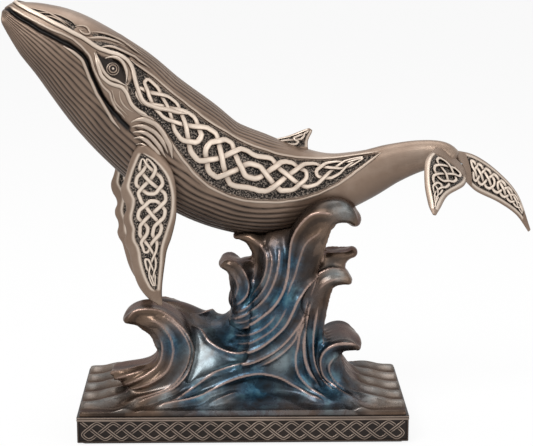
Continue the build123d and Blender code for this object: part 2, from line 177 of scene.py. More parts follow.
def join(name: str, pieces: list) -> bpy.types.Object:
    """Joins several meshes into one named piece.

    Args:
        name: the new piece's name.
        pieces: the meshes to join.
    Returns:
        The joined piece.
    """
    deselect()
    for piece in pieces:
        piece.select_set(True)
    bpy.context.view_layer.objects.active = pieces[0]
    bpy.ops.object.join()
    piece = bpy.context.active_object
    piece.name = name
    piece.data.name = name
    return piece


def face_outwards(piece: bpy.types.Object) -> None:
    """Turns every face of a piece's closed shells to the outside.

    Args:
        piece: the mesh to turn.
    """
    deselect()
    piece.select_set(True)
    bpy.context.view_layer.objects.active = piece
    bpy.ops.object.mode_set(mode="EDIT")
    bpy.ops.mesh.select_all(action="SELECT")
    bpy.ops.mesh.normals_make_consistent(inside=False)
    bpy.ops.object.mode_set(mode="OBJECT")


def settle(piece: bpy.types.Object, finish: bpy.types.Material, slot: Slot, *nodes: str) -> None:
    """Dresses a finished piece and fixes it to the body in place of its solids.

    Args:
        piece: the finished mesh.
        finish: its material.
        slot: the record's slot that it belongs to; not used.
        nodes: the solids that it stands for.
    """
    piece.data.materials.clear()
    piece.data.materials.append(finish)
    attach(piece, "root")
    if nodes:
        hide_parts(*nodes)
    piece.data.calc_loop_triangles()
    LOG.info("%s: %d triangles", piece.name, len(piece.data.loop_triangles))


def sweep(name: str, rings: Array, layers: dict, closed: bool) -> bpy.types.Object:
    """Shapes a torus, or a sphere for an open run, into a skin over rings of points.

    Args:
        name: the new piece's name.
        rings: points in millimetres, by ring, corner and axis.
        layers: numbers kept for each vertex, by name, each by ring and corner.
        closed: whether the last ring joins the first.
    Returns:
        The new piece.
    """
    count, corners = rings.shape[:2]
    deselect()
    if closed:
        bpy.ops.mesh.primitive_torus_add(
            major_segments=count, minor_segments=corners, major_radius=1.0, minor_radius=0.25)
        piece = bpy.context.active_object
        start = read_points(piece)
        ring = np.rint(np.arctan2(start[:, 1], start[:, 0]) / TAU * count).astype(int) % count
        rise = np.arctan2(start[:, 2], np.hypot(start[:, 0], start[:, 1]) - 1.0)
        corner = np.rint(rise / TAU * corners).astype(int) % corners
    else:
        bpy.ops.mesh.primitive_uv_sphere_add(segments=corners, ring_count=count + 1, radius=1.0)
        piece = bpy.context.active_object
        start = read_points(piece)
        drop = np.arccos(np.clip(start[:, 2], -1.0, 1.0)) / math.pi * (count + 1)
        ring = np.rint(drop).astype(int)
        corner = np.rint(np.arctan2(start[:, 1], start[:, 0]) / TAU * corners).astype(int) % corners
        ends = [rings[:1].mean(1, keepdims=True), rings[-1:].mean(1, keepdims=True)]
        rings = np.concatenate([np.repeat(ends[0], corners, 1), rings, np.repeat(ends[1], corners, 1)])
        layers = {key: np.concatenate([value[:1], value, value[-1:]]) for key, value in layers.items()}
    write_points(piece, rings[ring, corner])
    for key, value in layers.items():
        write_layer(piece, key, value[ring, corner])
    piece.name = name
    piece.data.name = name
    piece.data.polygons.foreach_set("use_smooth", np.ones(len(piece.data.polygons), bool))
    return piece


def add_node(tree: bpy.types.NodeTree, kind: str, links: dict, stops: tuple = (),
             **settings) -> bpy.types.Node:
    """Adds one shader node with its settings, values and links.

    Args:
        tree: the material's or world's node tree.
        kind: the node's type name.
        links: socket values, or sockets to link from, by input name or number.
        stops: places and hex colours of a colour ramp.
        settings: properties of the node itself.
    Returns:
        The new node.
    """
    node = tree.nodes.new(kind)
    for key, value in settings.items():
        setattr(node, key, value)
    for key, value in links.items():
        if isinstance(value, bpy.types.NodeSocket):
            tree.links.new(value, node.inputs[key])
        else:
            node.inputs[key].default_value = value
    for index, (place, code) in enumerate(stops):
        elements = node.color_ramp.elements
        stop = elements[index] if index < 2 else elements.new(place)
        stop.position = place
        stop.color = linear(code)
    return node


def blend(tree: bpy.types.NodeTree, share: object, under: object, over: object) -> bpy.types.NodeSocket:
    """Lays one colour over another by a share.

    Args:
        tree: the material's node tree.
        share: a number or a socket from 0 to 1.
        under: the lower colour or its socket.
        over: the upper colour or its socket.
    Returns:
        The mixed colour's socket.
    """
    return add_node(tree, "ShaderNodeMix", {0: share, 6: under, 7: over}, data_type="RGBA").outputs[2]


def new_tree(name: str) -> tuple:
    """A new material with an empty node tree, as (material, tree).

    Args:
        name: the real material's name.
    Returns:
        The material and its tree.
    """
    material = bpy.data.materials.new(name)
    material.use_nodes = True
    material.node_tree.nodes.clear()
    return material, material.node_tree


def per_mm(size: float) -> float:
    """The scale of a pattern on object coordinates whose features are size millimetres."""
    return 1.0 / (size * MM)


@dataclass(frozen=True)
class AntiqueBronze:
    """Cold-cast bronze: dark wax left in the hollows, bare metal rubbed bright on what stands proud, and
    the painted shade and painted highlights that the relief layer also carries.
    """

    name: str
    hollow: str = "#15110F"
    wax: str = "#4A3C33"
    metal: str = "#7F6B5C"
    rubbed: str = "#E2D2C2"
    ground: str = "#14110F"
    grit: str = "#9A8C80"
    metallic: float = 0.6
    roughness: float = 0.38
    grain: float = 0.9
    stipple: float = 0.75
    cloud: float = 16.0

    def material(self) -> bpy.types.Material:
        """Builds the finish.

        Returns:
            A material that reads the vertex layers relief and stipple.
        """
        material, tree = new_tree(self.name)
        place = add_node(tree, "ShaderNodeTexCoord", {}).outputs["Object"]
        relief = add_node(tree, "ShaderNodeAttribute", {}, attribute_name="relief").outputs["Fac"]
        ground = add_node(tree, "ShaderNodeAttribute", {}, attribute_name="stipple").outputs["Fac"]
        cloud = add_node(tree, "ShaderNodeTexNoise",
                         {"Vector": place, "Scale": per_mm(self.cloud), "Detail": 4.0})
        worn = add_node(tree, "ShaderNodeMath",
                        {0: cloud.outputs["Fac"], 1: 0.24, 2: -0.12}, operation="MULTIPLY_ADD")
        level = add_node(tree, "ShaderNodeMath", {0: relief, 1: 0.5, 2: 0.5}, operation="MULTIPLY_ADD")
        height = add_node(tree, "ShaderNodeMath",
                          {0: level.outputs[0], 1: worn.outputs[0]}, operation="ADD")
        tone = add_node(tree, "ShaderNodeValToRGB", {"Fac": height.outputs[0]},
                        ((0.04, self.hollow), (1.0, self.rubbed), (0.27, self.wax), (0.52, self.metal)))
        grit = add_node(tree, "ShaderNodeTexNoise",
                        {"Vector": place, "Scale": per_mm(self.stipple), "Detail": 2.0})
        speck = add_node(tree, "ShaderNodeValToRGB", {"Fac": grit.outputs["Fac"]},
                         ((0.46, self.ground), (0.68, self.grit)))
        mixed = blend(tree, ground, tone.outputs["Color"], speck.outputs["Color"])
        cast = add_node(tree, "ShaderNodeTexNoise",
                        {"Vector": place, "Scale": per_mm(self.grain), "Detail": 3.0})
        rough = add_node(tree, "ShaderNodeMath",
                         {0: cast.outputs["Fac"], 1: 0.22, 2: self.roughness - 0.11},
                         operation="MULTIPLY_ADD")
        bump = add_node(tree, "ShaderNodeBump",
                        {"Height": cast.outputs["Fac"], "Strength": 0.12, "Distance": 0.4 * MM})
        pit = add_node(tree, "ShaderNodeBump",
                       {"Height": grit.outputs["Fac"], "Strength": ground, "Distance": 0.9 * MM,
                        "Normal": bump.outputs["Normal"]})
        shader = add_node(tree, "ShaderNodeBsdfPrincipled",
                          {"Base Color": mixed, "Metallic": self.metallic, "Roughness": rough.outputs[0],
                           "Normal": pit.outputs["Normal"]})
        add_node(tree, "ShaderNodeOutputMaterial", {"Surface": shader.outputs["BSDF"]})
        return material


@dataclass(frozen=True)
class SeaPatina:
    """Bronze sea: blue and green washes lie in the channels, copper shows along the rubbed ridges."""

    name: str
    shade: str = "#15191B"
    deep: str = "#182832"
    blue: str = "#23485D"
    teal: str = "#567F8C"
    brown: str = "#46382F"
    bronze: str = "#786455"
    copper: str = "#B0968A"
    pale: str = "#B4C2C6"
    sheen: str = "#A08A7C"
    metallic: float = 0.62
    roughness: float = 0.27
    streak: float = 9.0
    cloud: float = 22.0
    grain: float = 0.9

    def material(self) -> bpy.types.Material:
        """Builds the finish.

        Returns:
            A material that reads three vertex layers: relief, which lays copper on the ridges and painted
            shade in the channels, pool, and a layer of painted highlights.
        """
        material, tree = new_tree(self.name)
        place = add_node(tree, "ShaderNodeTexCoord", {}).outputs["Object"]
        relief, pool, pale = (
            add_node(tree, "ShaderNodeAttribute", {}, attribute_name=key).outputs["Fac"]
            for key in ("relief", "pool", "pale"))
        cloud = add_node(tree, "ShaderNodeTexNoise",
                         {"Vector": place, "Scale": per_mm(self.cloud), "Detail": 5.0, "Roughness": 0.6})
        streak = add_node(tree, "ShaderNodeTexNoise",
                          {"Vector": place, "Scale": per_mm(self.streak), "Detail": 6.0, "Roughness": 0.65})
        wash = add_node(tree, "ShaderNodeValToRGB", {"Fac": streak.outputs["Fac"]},
                        ((0.34, self.deep), (0.72, self.teal), (0.52, self.blue)))
        bare = add_node(tree, "ShaderNodeValToRGB", {"Fac": cloud.outputs["Fac"]},
                        ((0.35, self.brown), (0.7, self.bronze)))
        shift = add_node(tree, "ShaderNodeMath",
                         {0: cloud.outputs["Fac"], 1: 0.6, 2: -0.35}, operation="MULTIPLY_ADD")
        wet = add_node(tree, "ShaderNodeMath",
                       {0: pool, 1: shift.outputs[0]}, operation="ADD", use_clamp=True)
        ridge = add_node(tree, "ShaderNodeMapRange",
                         {"Value": relief, "From Min": 0.25, "From Max": 1.0, "To Max": 0.7},
                         interpolation_type="SMOOTHSTEP")
        # Painted shade: where the relief falls below zero, in the channels beside the ridges and in the
        # ripples' troughs, the shade colour darkens the sea.
        trough = add_node(tree, "ShaderNodeMapRange",
                          {"Value": relief, "From Min": 0.0, "From Max": -0.8, "To Max": 0.6})
        # Painted highlights: the highlight layer, broken up by streaks, lays a bright blue-grey over the
        # sea where a lamp's highlight would show.
        highlight_streaks = add_node(tree, "ShaderNodeMath",
                         {0: streak.outputs["Fac"], 1: 1.2, 2: -0.2},
                         operation="MULTIPLY_ADD", use_clamp=True)
        white = add_node(tree, "ShaderNodeMath",
                         {0: pale, 1: highlight_streaks.outputs[0]}, operation="MULTIPLY", use_clamp=True)
        colour = bare.outputs["Color"]
        for share, over in ((wet, wash.outputs["Color"]), (trough, linear(self.shade)),
                            (white, linear(self.pale)), (ridge, linear(self.copper))):
            colour = blend(tree, share.outputs[0], colour, over)
        cast = add_node(tree, "ShaderNodeTexNoise",
                        {"Vector": place, "Scale": per_mm(self.grain), "Detail": 3.0})
        rough = add_node(tree, "ShaderNodeMath",
                         {0: streak.outputs["Fac"], 1: 0.24, 2: self.roughness - 0.12},
                         operation="MULTIPLY_ADD")
        bump = add_node(tree, "ShaderNodeBump",
                        {"Height": cast.outputs["Fac"], "Strength": 0.05, "Distance": 0.4 * MM})
        shader = add_node(tree, "ShaderNodeBsdfPrincipled",
                          {"Base Color": colour, "Metallic": self.metallic, "Roughness": rough.outputs[0],
                           "Specular Tint": linear(self.sheen), "Normal": bump.outputs["Normal"]})
        add_node(tree, "ShaderNodeOutputMaterial", {"Surface": shader.outputs["BSDF"]})
        return material


@dataclass(frozen=True)
class PlainFinish:
    """A felt or steel finish: one colour broken up by its fibres or its drawing marks."""

    name: str
    dark: str
    light: str
    metallic: float
    roughness: float
    grain: float
    bump: float

    def material(self) -> bpy.types.Material:
        """Builds the finish as a material.

        Returns:
            A material of one broken colour.
        """
        material, tree = new_tree(self.name)
        place = add_node(tree, "ShaderNodeTexCoord", {}).outputs["Object"]
        fibre = add_node(tree, "ShaderNodeTexNoise",
                         {"Vector": place, "Scale": per_mm(self.grain), "Detail": 4.0})
        tone = add_node(tree, "ShaderNodeValToRGB", {"Fac": fibre.outputs["Fac"]},
                        ((0.35, self.dark), (0.7, self.light)))
        bump = add_node(tree, "ShaderNodeBump",
                        {"Height": fibre.outputs["Fac"], "Strength": self.bump, "Distance": 0.3 * MM})
        shader = add_node(tree, "ShaderNodeBsdfPrincipled",
                          {"Base Color": tone.outputs["Color"], "Metallic": self.metallic,
                           "Roughness": self.roughness, "Normal": bump.outputs["Normal"]})
        add_node(tree, "ShaderNodeOutputMaterial", {"Surface": shader.outputs["BSDF"]})
        return material


@dataclass(frozen=True)
class PhotoCamera:
    """The photograph's viewpoint, which also carries its pixels onto the object's surfaces."""

    place: tuple = (-4.12, -872.10, 290.35)
    pitch: float = math.radians(12.087)
    yaw: float = math.radians(-1.088)
    focal_pixels: float = 1750.0
    sensor: float = 36.0

    def axes(self) -> Array:
        """The camera's right, up and forward directions, one row each.

        Returns:
            Three rows of length one.
        """
        flat = np.array([-math.sin(self.yaw), math.cos(self.yaw), 0.0])
        right = np.array([math.cos(self.yaw), math.sin(self.yaw), 0.0])
        high = np.array([0.0, 0.0, 1.0])
        ahead = flat * math.cos(self.pitch) - high * math.sin(self.pitch)
        return np.stack([right, flat * math.sin(self.pitch) + high * math.cos(self.pitch), ahead])

    def rays(self, pixels: Array) -> Array:
        """The directions in which pixels look.

        Args:
            pixels: rows of places in the photograph.
        Returns:
            One row of length one for each pixel.
        """
        pixels = np.asarray(pixels, float)
        right = (pixels[:, :1] - PHOTO_WIDTH / 2) / self.focal_pixels
        up = (PHOTO_HEIGHT / 2 - pixels[:, 1:2]) / self.focal_pixels
        axes = self.axes()
        return unit(right * axes[0] + up * axes[1] + axes[2])

    def pixels(self, points: Array) -> Array:
        """Where points in millimetres fall in the photograph.

        Args:
            points: rows in millimetres.
        Returns:
            One row of places in the photograph for each point.
        """
        seen = (np.asarray(points) - np.array(self.place)) @ self.axes().T
        across = PHOTO_WIDTH / 2 + self.focal_pixels * seen[..., 0] / seen[..., 2]
        down = PHOTO_HEIGHT / 2 - self.focal_pixels * seen[..., 1] / seen[..., 2]
        return np.stack([across, down], axis=-1)

    def build(self) -> None:
        """Adds the camera to the scene."""
        lens = bpy.data.cameras.new("photo_camera")
        lens.sensor_width = self.sensor
        lens.lens = self.sensor * self.focal_pixels / PHOTO_WIDTH
        lens.clip_start = 0.01
        lens.clip_end = 50.0
        camera = bpy.data.objects.new("photo_camera", lens)
        camera.location = Vector(self.place) * MM
        camera.rotation_euler = (math.pi / 2 - self.pitch, 0.0, self.yaw)
        bpy.context.scene.collection.objects.link(camera)
        bpy.context.scene.camera = camera


class Turn(Enum):
    """How a break in a plait turns its strands back."""

    UPRIGHT = "upright"
    LEVEL = "level"


@dataclass(frozen=True)
class Interlace:
    """A plait of closed strands on a lattice, turned back at its border and at chosen breaks."""

    columns: int
    rows: float
    breaks: tuple = ()
    inset: float = 0.42

    def strands(self, samples: int) -> list:
        """Follows every strand once, round its loop or, over half rows, from corner to corner.

        Args:
            samples: points for each half step of the lattice.
        Returns:
            For each strand, rows of place along and across from 0 to 1 and height from -1 to 1, and
            whether the strand is closed.
        """
        wide = 2 * self.columns
        high = round(2 * self.rows)
        walls = {(i, j): turn for i, j, turn in self.breaks}
        corners = {(i, j) for i in (0, wide) for j in (0, high) if (i + j) % 2}
        seen = set()
        found = []
        starts = [(spot, (1, -1)) for spot in sorted(corners) if spot[0] == 0]
        starts += [((i, j), (1, 1)) for i in range(wide) for j in range(high) if (i + j) % 2]
        for start, step in starts:
            if (2 * start[0] + step[0], 2 * start[1] + step[1]) in seen:
                continue
            spot = start
            closed = start not in corners
            rows = [] if closed else [(*start, 0.0)]
            while (2 * spot[0] + step[0], 2 * spot[1] + step[1]) not in seen:
                middle = (2 * spot[0] + step[0], 2 * spot[1] + step[1])
                seen.add(middle)
                rows.append((middle[0] / 2, middle[1] / 2, 0.0))
                spot = (spot[0] + step[0], spot[1] + step[1])
                wall = walls.get(spot)
                if spot in corners:
                    rows.append((*spot, 0.0))
                    break
                if spot[0] in (0, wide) or wall is Turn.UPRIGHT:
                    rows.append((spot[0] - self.inset * step[0], spot[1], 0.0))
                    step = (-step[0], step[1])
                elif spot[1] in (0, high) or wall is Turn.LEVEL:
                    rows.append((spot[0], spot[1] - self.inset * step[1], 0.0))
                    step = (step[0], -step[1])
                else:
                    over = (step[0] * step[1] > 0) == (spot[0] % 2 == 1)
                    rows.append((*spot, 1.0 if over else -1.0))
            rows = np.array(rows) / np.array([wide, high, 1.0])
            count = (len(rows) if closed else len(rows) - 1) * samples
            found.append((curve_at(rows, np.arange(count) / samples, closed), closed))
        return found


@dataclass(frozen=True)
class Ribbon:
    """A raised band that lies on a surface: rounded on top, with its foot sunk into the ground."""

    width: float
    height: float
    sink: float = 1.6
    weave: float = 0.0
    groove: float = 0.0
    gloss: float = 1.0
    shape: tuple = ((0.84, -1.0), (1.0, 0.0), (0.94, 0.55), (0.62, 0.9), (0.0, 1.0),
                    (-0.62, 0.9), (-0.94, 0.55), (-1.0, 0.0), (-0.84, -1.0))

    def lay(self, name: str, points: Array, normals: Array, over: Array, widths: Array,
            closed: bool) -> bpy.types.Object:
        """Lays the ribbon along a line of surface points.

        Args:
            name: the new piece's name.
            points: the line, in millimetres.
            normals: the surface's directions at those points.
            over: how far the ribbon passes over, from -1 to 1.
            widths: shares of the ribbon's own width.
            closed: whether the line returns to its start.
        Returns:
            The new piece.
        """
        if closed:
            along = np.roll(points, -1, axis=0) - np.roll(points, 1, axis=0)
        else:
            along = np.gradient(points, axis=0)
        across = unit(np.cross(normals, unit(along)))
        shape = np.array(self.shape)
        reach = shape[None, :, 0, None] * (0.5 * self.width * widths)[:, None, None]
        crown = np.where(shape[:, 1] > 0, shape[:, 1] * self.height, shape[:, 1] * self.sink)
        crown = crown - self.groove * (np.abs(shape[:, 0]) < 0.1)
        lift = crown[None, :] * np.minimum(widths, 1.0)[:, None] + (self.weave * over)[:, None]
        rings = points[:, None] + across[:, None] * reach + normals[:, None] * lift[..., None]
        relief = np.where(shape[:, 1] > 0, (0.9 + self.gloss) * shape[:, 1] - 0.9, -0.9)
        relief = relief - 1.7 * (self.groove > 0) * (np.abs(shape[:, 0]) < 0.1)
        # Painted shade: a strand is darkened where it dips under another strand.
        relief = relief[None, :] + 0.42 * np.minimum(over, 0.0)[:, None]
        return sweep(name, rings, {"relief": relief, "stipple": np.zeros(relief.shape)}, closed)


@dataclass
class WhaleBody:
    """The whale's body: pleated belly, lined back, sunk knot panels and the lines of its face."""

    camera: PhotoCamera
    snout_cap: float = 3.0
    segments: int = 340
    rings: int = 280
    pleats: int = 25
    pleat_depth: float = 1.0
    back_lines: int = 30
    back_depth: float = 0.4
    panel_sink: float = 1.15
    panel_units: tuple = (11, 2)

    # Snout to tail: place along, swing and rise from the seat, height and width of the section
    stations = (
        (-0.5390, -0.72, 0.779, 0.09, 0.12),
        (-0.5270, -0.72, 0.764, 0.22, 0.28),
        (-0.4700, -0.61, 0.691, 0.505, 0.54),
        (-0.4010, -0.50, 0.594, 0.71, 0.74),
        (-0.3125, -0.33, 0.430, 0.905, 0.92),
        (-0.2385, -0.19, 0.286, 0.965, 0.98),
        (-0.1665, -0.08, 0.167, 1.00, 1.00),
        (-0.0900, 0.00, 0.063, 0.955, 0.98),
        (0.0000, 0.055, 0.000, 0.915, 0.92),
        (0.0730, 0.11, -0.019, 0.815, 0.80),
        (0.1640, 0.165, -0.010, 0.59, 0.57),
        (0.2420, 0.195, 0.028, 0.45, 0.41),
        (0.3110, 0.195, 0.083, 0.355, 0.31),
        (0.3750, 0.14, 0.120, 0.28, 0.25),
        (0.4250, 0.00, 0.128, 0.23, 0.23),
        (0.4535, -0.165, 0.097, 0.175, 0.25),
    )
    # Pixels of the lines that part the body's zones
    panel_top = ((131, 60), (137, 65.5), (150, 74), (165, 87), (180, 99), (206, 119), (225, 131),
                 (243, 141.5), (262, 149), (285, 155.5), (310, 158.5), (335, 158), (360, 154.5), (381, 151))
    panel_foot = ((127, 84), (129, 98), (135, 109), (143, 114.5), (150.5, 118.5), (159.5, 127),
                  (167, 136.5), (175, 149), (184, 161), (194, 173), (207, 185), (222, 193.5),
                  (240, 199.5), (262, 202), (285, 201.5), (305, 198), (325, 191), (343, 181),
                  (362, 167), (381, 153))
    mouth = ((8, 8), (17, 16), (29, 23), (40, 30), (52, 36), (61, 41), (69, 44.5), (76.5, 50), (83, 56),
             (87, 63), (90, 73), (94, 82), (98.5, 92), (103, 100), (110, 109), (117, 117), (127, 128))
    # Pixels round the stippled grounds of the brow and the snout, and round the hollow of the eye
    grounds = (
        ((131, 60), (137, 65), (146, 72), (150, 84), (146, 102), (139, 92), (136.5, 80), (134, 70)),
        ((128, 86), (131, 88), (134, 96), (139, 104), (147, 109), (155, 113), (150, 117), (141, 112),
         (134, 107)),
        ((88, 40), (100, 41), (113, 43.5), (122, 47), (127, 52), (131, 58), (122, 55), (110, 50),
         (100, 48)),
        ((91, 33.5), (101, 33.5), (112, 37), (119, 41), (108, 39), (95, 37.5)),
        ((28, 7.5), (40, 9.5), (55, 14), (68, 19.5), (77, 25), (74, 30), (62, 25), (48, 19), (36, 13.5)),
    )
    almond = ((97, 52), (102, 56), (108, 58), (114, 57.5), (120, 60.5), (124, 66), (126.5, 73), (127.5, 80),
              (126.5, 85), (120, 83), (112.5, 80.5), (106, 76.5), (101.5, 68), (98.5, 59))
    # Pixels of the raised lines of the face, each with a width and a height in millimetres
    face_lines = (
        (2.5, 1.0, ((13, 2), (32, 12), (50, 21), (67, 30), (83, 38), (89, 42.5), (96, 47), (105, 51),
                    (115, 54), (121.5, 57), (128, 62), (132, 68), (134.5, 78), (137, 88), (140, 96),
                    (144, 102), (151, 106), (159, 108.5), (169, 110.5), (179, 112.5), (188, 114.5))),
        (1.5, 0.7, ((8, 6), (29, 18), (50, 29), (67, 36), (76.5, 42), (84, 49), (90, 57), (94, 69),
                    (98.5, 79), (103, 86), (109, 92), (112, 101), (118, 110), (125, 118))),
        (1.6, 0.7, ((85, 38), (96, 38), (107, 39), (117, 42), (125, 46))),
        (1.6, 0.7, ((100, 47), (113, 47), (124, 52), (134, 57), (143.5, 64), (150, 68))),
        (1.4, 0.6, ((91, 32), (101, 33), (111, 36), (123, 42), (134, 50), (143.5, 56))),
        (2.2, 1.0, ((94, 52), (97, 62), (102, 76.5), (110, 83), (119, 86), (125, 90), (129, 99.5),
                    (135, 108.5), (143, 113.5), (150, 117.5))),
        (1.3, 0.6, ((119, 91), (120.5, 99.5), (126, 107), (134, 113))),
        (1.3, 0.6, ((112, 90), (114, 99), (120, 108), (128, 116))),
        (1.8, 0.9, ((63, 46), (73, 52), (81, 59), (86, 69), (91, 81), (97, 93), (103, 104), (111, 117),
                    (120, 129))),
        (2.0, 1.3, ((105, 58.5), (112, 57), (119, 60), (124, 66), (127, 75), (126.5, 82))),
        (1.8, 1.2, ((96, 53), (99.5, 63), (104, 72), (110, 78), (118, 81.5), (127, 86))),
        (1.3, 0.7, ((75, 27), (80, 25.5), (86, 27.5), (90, 31.5), (88.5, 35), (83.5, 34), (79.5, 30.5),
                    (82, 28.5), (85, 30.5))),
        (1.0, 0.5, ((30, 8), (45, 11.5), (58, 18), (72, 27))),
        (1.0, 0.5, ((34, 12), (48, 13.5), (58, 15), (70, 20.5), (76, 26))),
        (1.0, 0.5, ((42, 16), (52, 17), (62, 22), (68, 27))),
    )
    # Pixels of the skin's folds over the flipper's root, drawn on both flanks
    folds = (
        (3.0, 1.5, ((131, 122), (139, 119.5), (149, 121), (158, 127), (165, 136), (170, 147), (172, 158))),
        (2.6, 1.6, ((131.5, 127), (140, 125.5), (148.5, 128), (156.5, 133.5), (163, 142), (168, 153))),
        (2.6, 1.8, ((132.5, 132), (140, 131), (147, 134), (154, 139.5), (160.5, 147.5), (166, 158))),
        (2.6, 2.0, ((134, 138), (140, 137), (146, 140), (152, 145.5), (158, 152.5), (164, 162))),
        (2.4, 2.2, ((136, 144), (141, 143), (147, 146.5), (153, 152), (159, 159), (164, 167))),
    )
    eye_pixel = (113.2, 68.6)
    eye_radius = 3.4
    # Rings of the iris: shares of the eye's radius and how bright each is; the bright middle is a painted
    # highlight on the pupil, the outer rings are rubbed.
    iris_places = (0.0, 0.14, 0.2, 0.42, 0.5, 0.6, 0.68, 0.78, 0.86, 0.95, 1.0)
    iris_tones = (0.9, 0.6, -0.9, -1.0, 0.1, 0.15, -0.9, -0.8, 0.4, 0.45, -0.8)

    def __post_init__(self) -> None:
        """Reads the stations as a fine line of sections and charts the near flank."""
        shares = np.array(self.stations)
        fine = curve_at(shares, np.linspace(0, len(shares) - 1, 1600))
        scale = np.array([WHALE_LENGTH, SIDE_SWING, WHALE_RISE])
        self.centres = SEAT + fine[:, :3] * scale
        gaps = np.linalg.norm(np.diff(self.centres, axis=0), axis=1)
        reach = np.concatenate([[0.0], np.cumsum(gaps)])
        self.run = reach[-1]
        self.reach = reach / self.run
        self.along = unit(np.gradient(self.centres, reach, axis=0))
        self.half_high = 0.5 * fine[:, 3] * BODY_HEIGHT
        self.half_wide = 0.5 * fine[:, 4] * BODY_WIDTH
        places, turns = np.meshgrid(np.linspace(0, 1, 700), np.linspace(0.02, math.pi - 0.02, 220))
        self.chart = np.stack([places.ravel(), turns.ravel()], axis=1)
        points = self.surface(self.chart[:, 0], self.chart[:, 1], Side.NEAR)
        normals = self.normals(self.chart[:, 0], self.chart[:, 1], Side.NEAR)
        facing = np.einsum("ij,ij->i", normals, points - np.array(self.camera.place)) < 0
        self.chart = self.chart[facing]
        self.chart_pixels = self.camera.pixels(points[facing])
        self.top_line = self.border(self.panel_top)
        self.foot_line = self.border(self.panel_foot)
        self.mouth_line = self.pin(even_points(np.array(self.mouth), 1.0))

    def pin(self, pixels: Array) -> Array:
        """Places pixels on the near flank, as rows of place along and turn from the back."""
        gaps = ((self.chart_pixels[None] - np.asarray(pixels, float)[:, None]) ** 2).sum(2)
        return self.chart[np.argmin(gaps, axis=1)]

    def border(self, pixels: tuple) -> Array:
        """A border line of a zone, as rows in order of place along the body."""
        rows = self.pin(even_points(np.array(pixels), 1.5))
        return rows[np.argsort(rows[:, 0])]

    def column(self, values: Array, place: Array) -> Array:
        """A value of the sections, read at places along the body."""
        return np.interp(place, self.reach, values)

    def surface(self, place: Array, turn: Array, side: Side) -> Array:
        """Points of the plain body.

        Args:
            place: shares of the way from snout to tail.
            turn: angles from the middle of the back, up to pi under the belly.
            side: the flank.
        Returns:
            One row in millimetres for each place.
        """
        centre = np.stack([self.column(axis, place) for axis in self.centres.T], axis=-1)
        along = unit(np.stack([self.column(axis, place) for axis in self.along.T], axis=-1))
        across = np.array([0.0, 1.0, 0.0])
        across = unit(across - along * along[..., 1:2])
        up = np.cross(along, across)
        share = np.minimum(np.minimum(place, 1.0 - place) * self.run / self.snout_cap + 0.02, 1.0)
        cap = np.sqrt(np.clip(1.0 - (1.0 - share) ** 2, 0.0, 1.0))
        angle = math.pi / 2 + side.value * turn
        wide = self.column(self.half_wide, place) * cap * np.cos(angle)
        tall = self.column(self.half_high, place) * cap * np.sin(angle)
        return centre + across * wide[..., None] + up * tall[..., None]

    def normals(self, place: Array, turn: Array, side: Side) -> Array:
        """Outward directions of the plain body.

        Args:
            place: shares of the way from snout to tail.
            turn: angles from the middle of the back.
            side: the flank.
        Returns:
            One row of length one for each place.
        """
        step = 0.002
        low = np.clip(place - step, 0.004, 0.994)
        high = low + 2 * step
        around = self.surface(place, turn + step, side) - self.surface(place, turn - step, side)
        ahead = self.surface(high, turn, side) - self.surface(low, turn, side)
        return unit(np.cross(around, ahead)) * side.value

    def radius(self, place: Array) -> Array:
        """The mean radius of the section at places along the body."""
        return 0.5 * (self.column(self.half_high, place) + self.column(self.half_wide, place))

    def gap_to(self, place: Array, turn: Array, line: Array) -> Array:
        """Distances in millimetres over the surface to a line of rows of place and turn.

        Args:
            place: shares of the way from snout to tail.
            turn: angles from the middle of the back.
            line: the line's rows.
        Returns:
            One distance for each place.
        """
        best = np.full(len(place), 1e9)
        size = self.radius(place)
        for row in line:
            gap = ((place - row[0]) * self.run) ** 2 + ((turn - row[1]) * size) ** 2
            best = np.minimum(best, gap)
        return np.sqrt(best)

    def zones(self, place: Array, turn: Array) -> tuple:
        """How far each point lies in the knot panel, on the back and on the belly.

        Args:
            place: shares of the way from snout to tail.
            turn: angles from the middle of the back.
        Returns:
            Three arrays from 0 to 1: panel, back and belly.
        """
        size = self.radius(place)
        below_top = (turn - np.interp(place, *self.top_line.T)) * size
        above_foot = (np.interp(place, *self.foot_line.T) - turn) * size
        start = max(self.top_line[0, 0], self.foot_line[0, 0])
        end = min(self.top_line[-1, 0], self.foot_line[-1, 0])
        inside = ease((place - start) * self.run, 0.0, 1.2) * ease((end - place) * self.run, 0.0, 1.2)
        panel = ease(below_top, 0.6, 1.5) * ease(above_foot, 0.6, 1.5) * inside
        jaw = np.interp(place, *self.mouth_line[np.argsort(self.mouth_line[:, 0])].T)
        corner = self.mouth_line[:, 0].max()
        foot_start = self.foot_line[0, 0]
        lip = np.where(place < corner, jaw, np.interp(place, *self.foot_line.T))
        join_share = ease(place, corner, max(foot_start, corner + 0.02))
        lip = np.where(place > corner, (1 - join_share) * jaw + join_share * lip, lip)
        belly = ease((turn - lip) * size, 1.2, 3.0) * (1.0 - ease(place, 0.60, 0.72))
        back = ease(-below_top, 1.2, 3.0) * ease(place, start - 0.12, start - 0.02)
        return panel, back * (1.0 - ease(place, 0.58, 0.68)), belly

    def drawn(self, place: Array, turn: Array, outlines: tuple) -> Array:
        """Which points of a flank lie inside outlines given by pixels.

        Args:
            place: shares of the way from snout to tail.
            turn: angles from the middle of the back.
            outlines: rows of pixels round each outline.
        Returns:
            1 inside an outline and 0 elsewhere.
        """
        points = self.surface(place, turn, Side.NEAR)
        sight = points - np.array(self.camera.place)
        facing = np.einsum("ij,ij->i", self.normals(place, turn, Side.NEAR), sight) < 0
        across, down = self.camera.pixels(points).T
        found = np.zeros(len(place), bool)
        for outline in outlines:
            inside = np.zeros(len(place), bool)
            for (x0, y0), (x1, y1) in zip(outline, outline[1:] + outline[:1]):
                if y0 != y1:
                    crossed = (y0 > down) != (y1 > down)
                    inside ^= crossed & (across < x0 + (down - y0) * (x1 - x0) / (y1 - y0))
            found |= inside
        return (found & facing).astype(float)

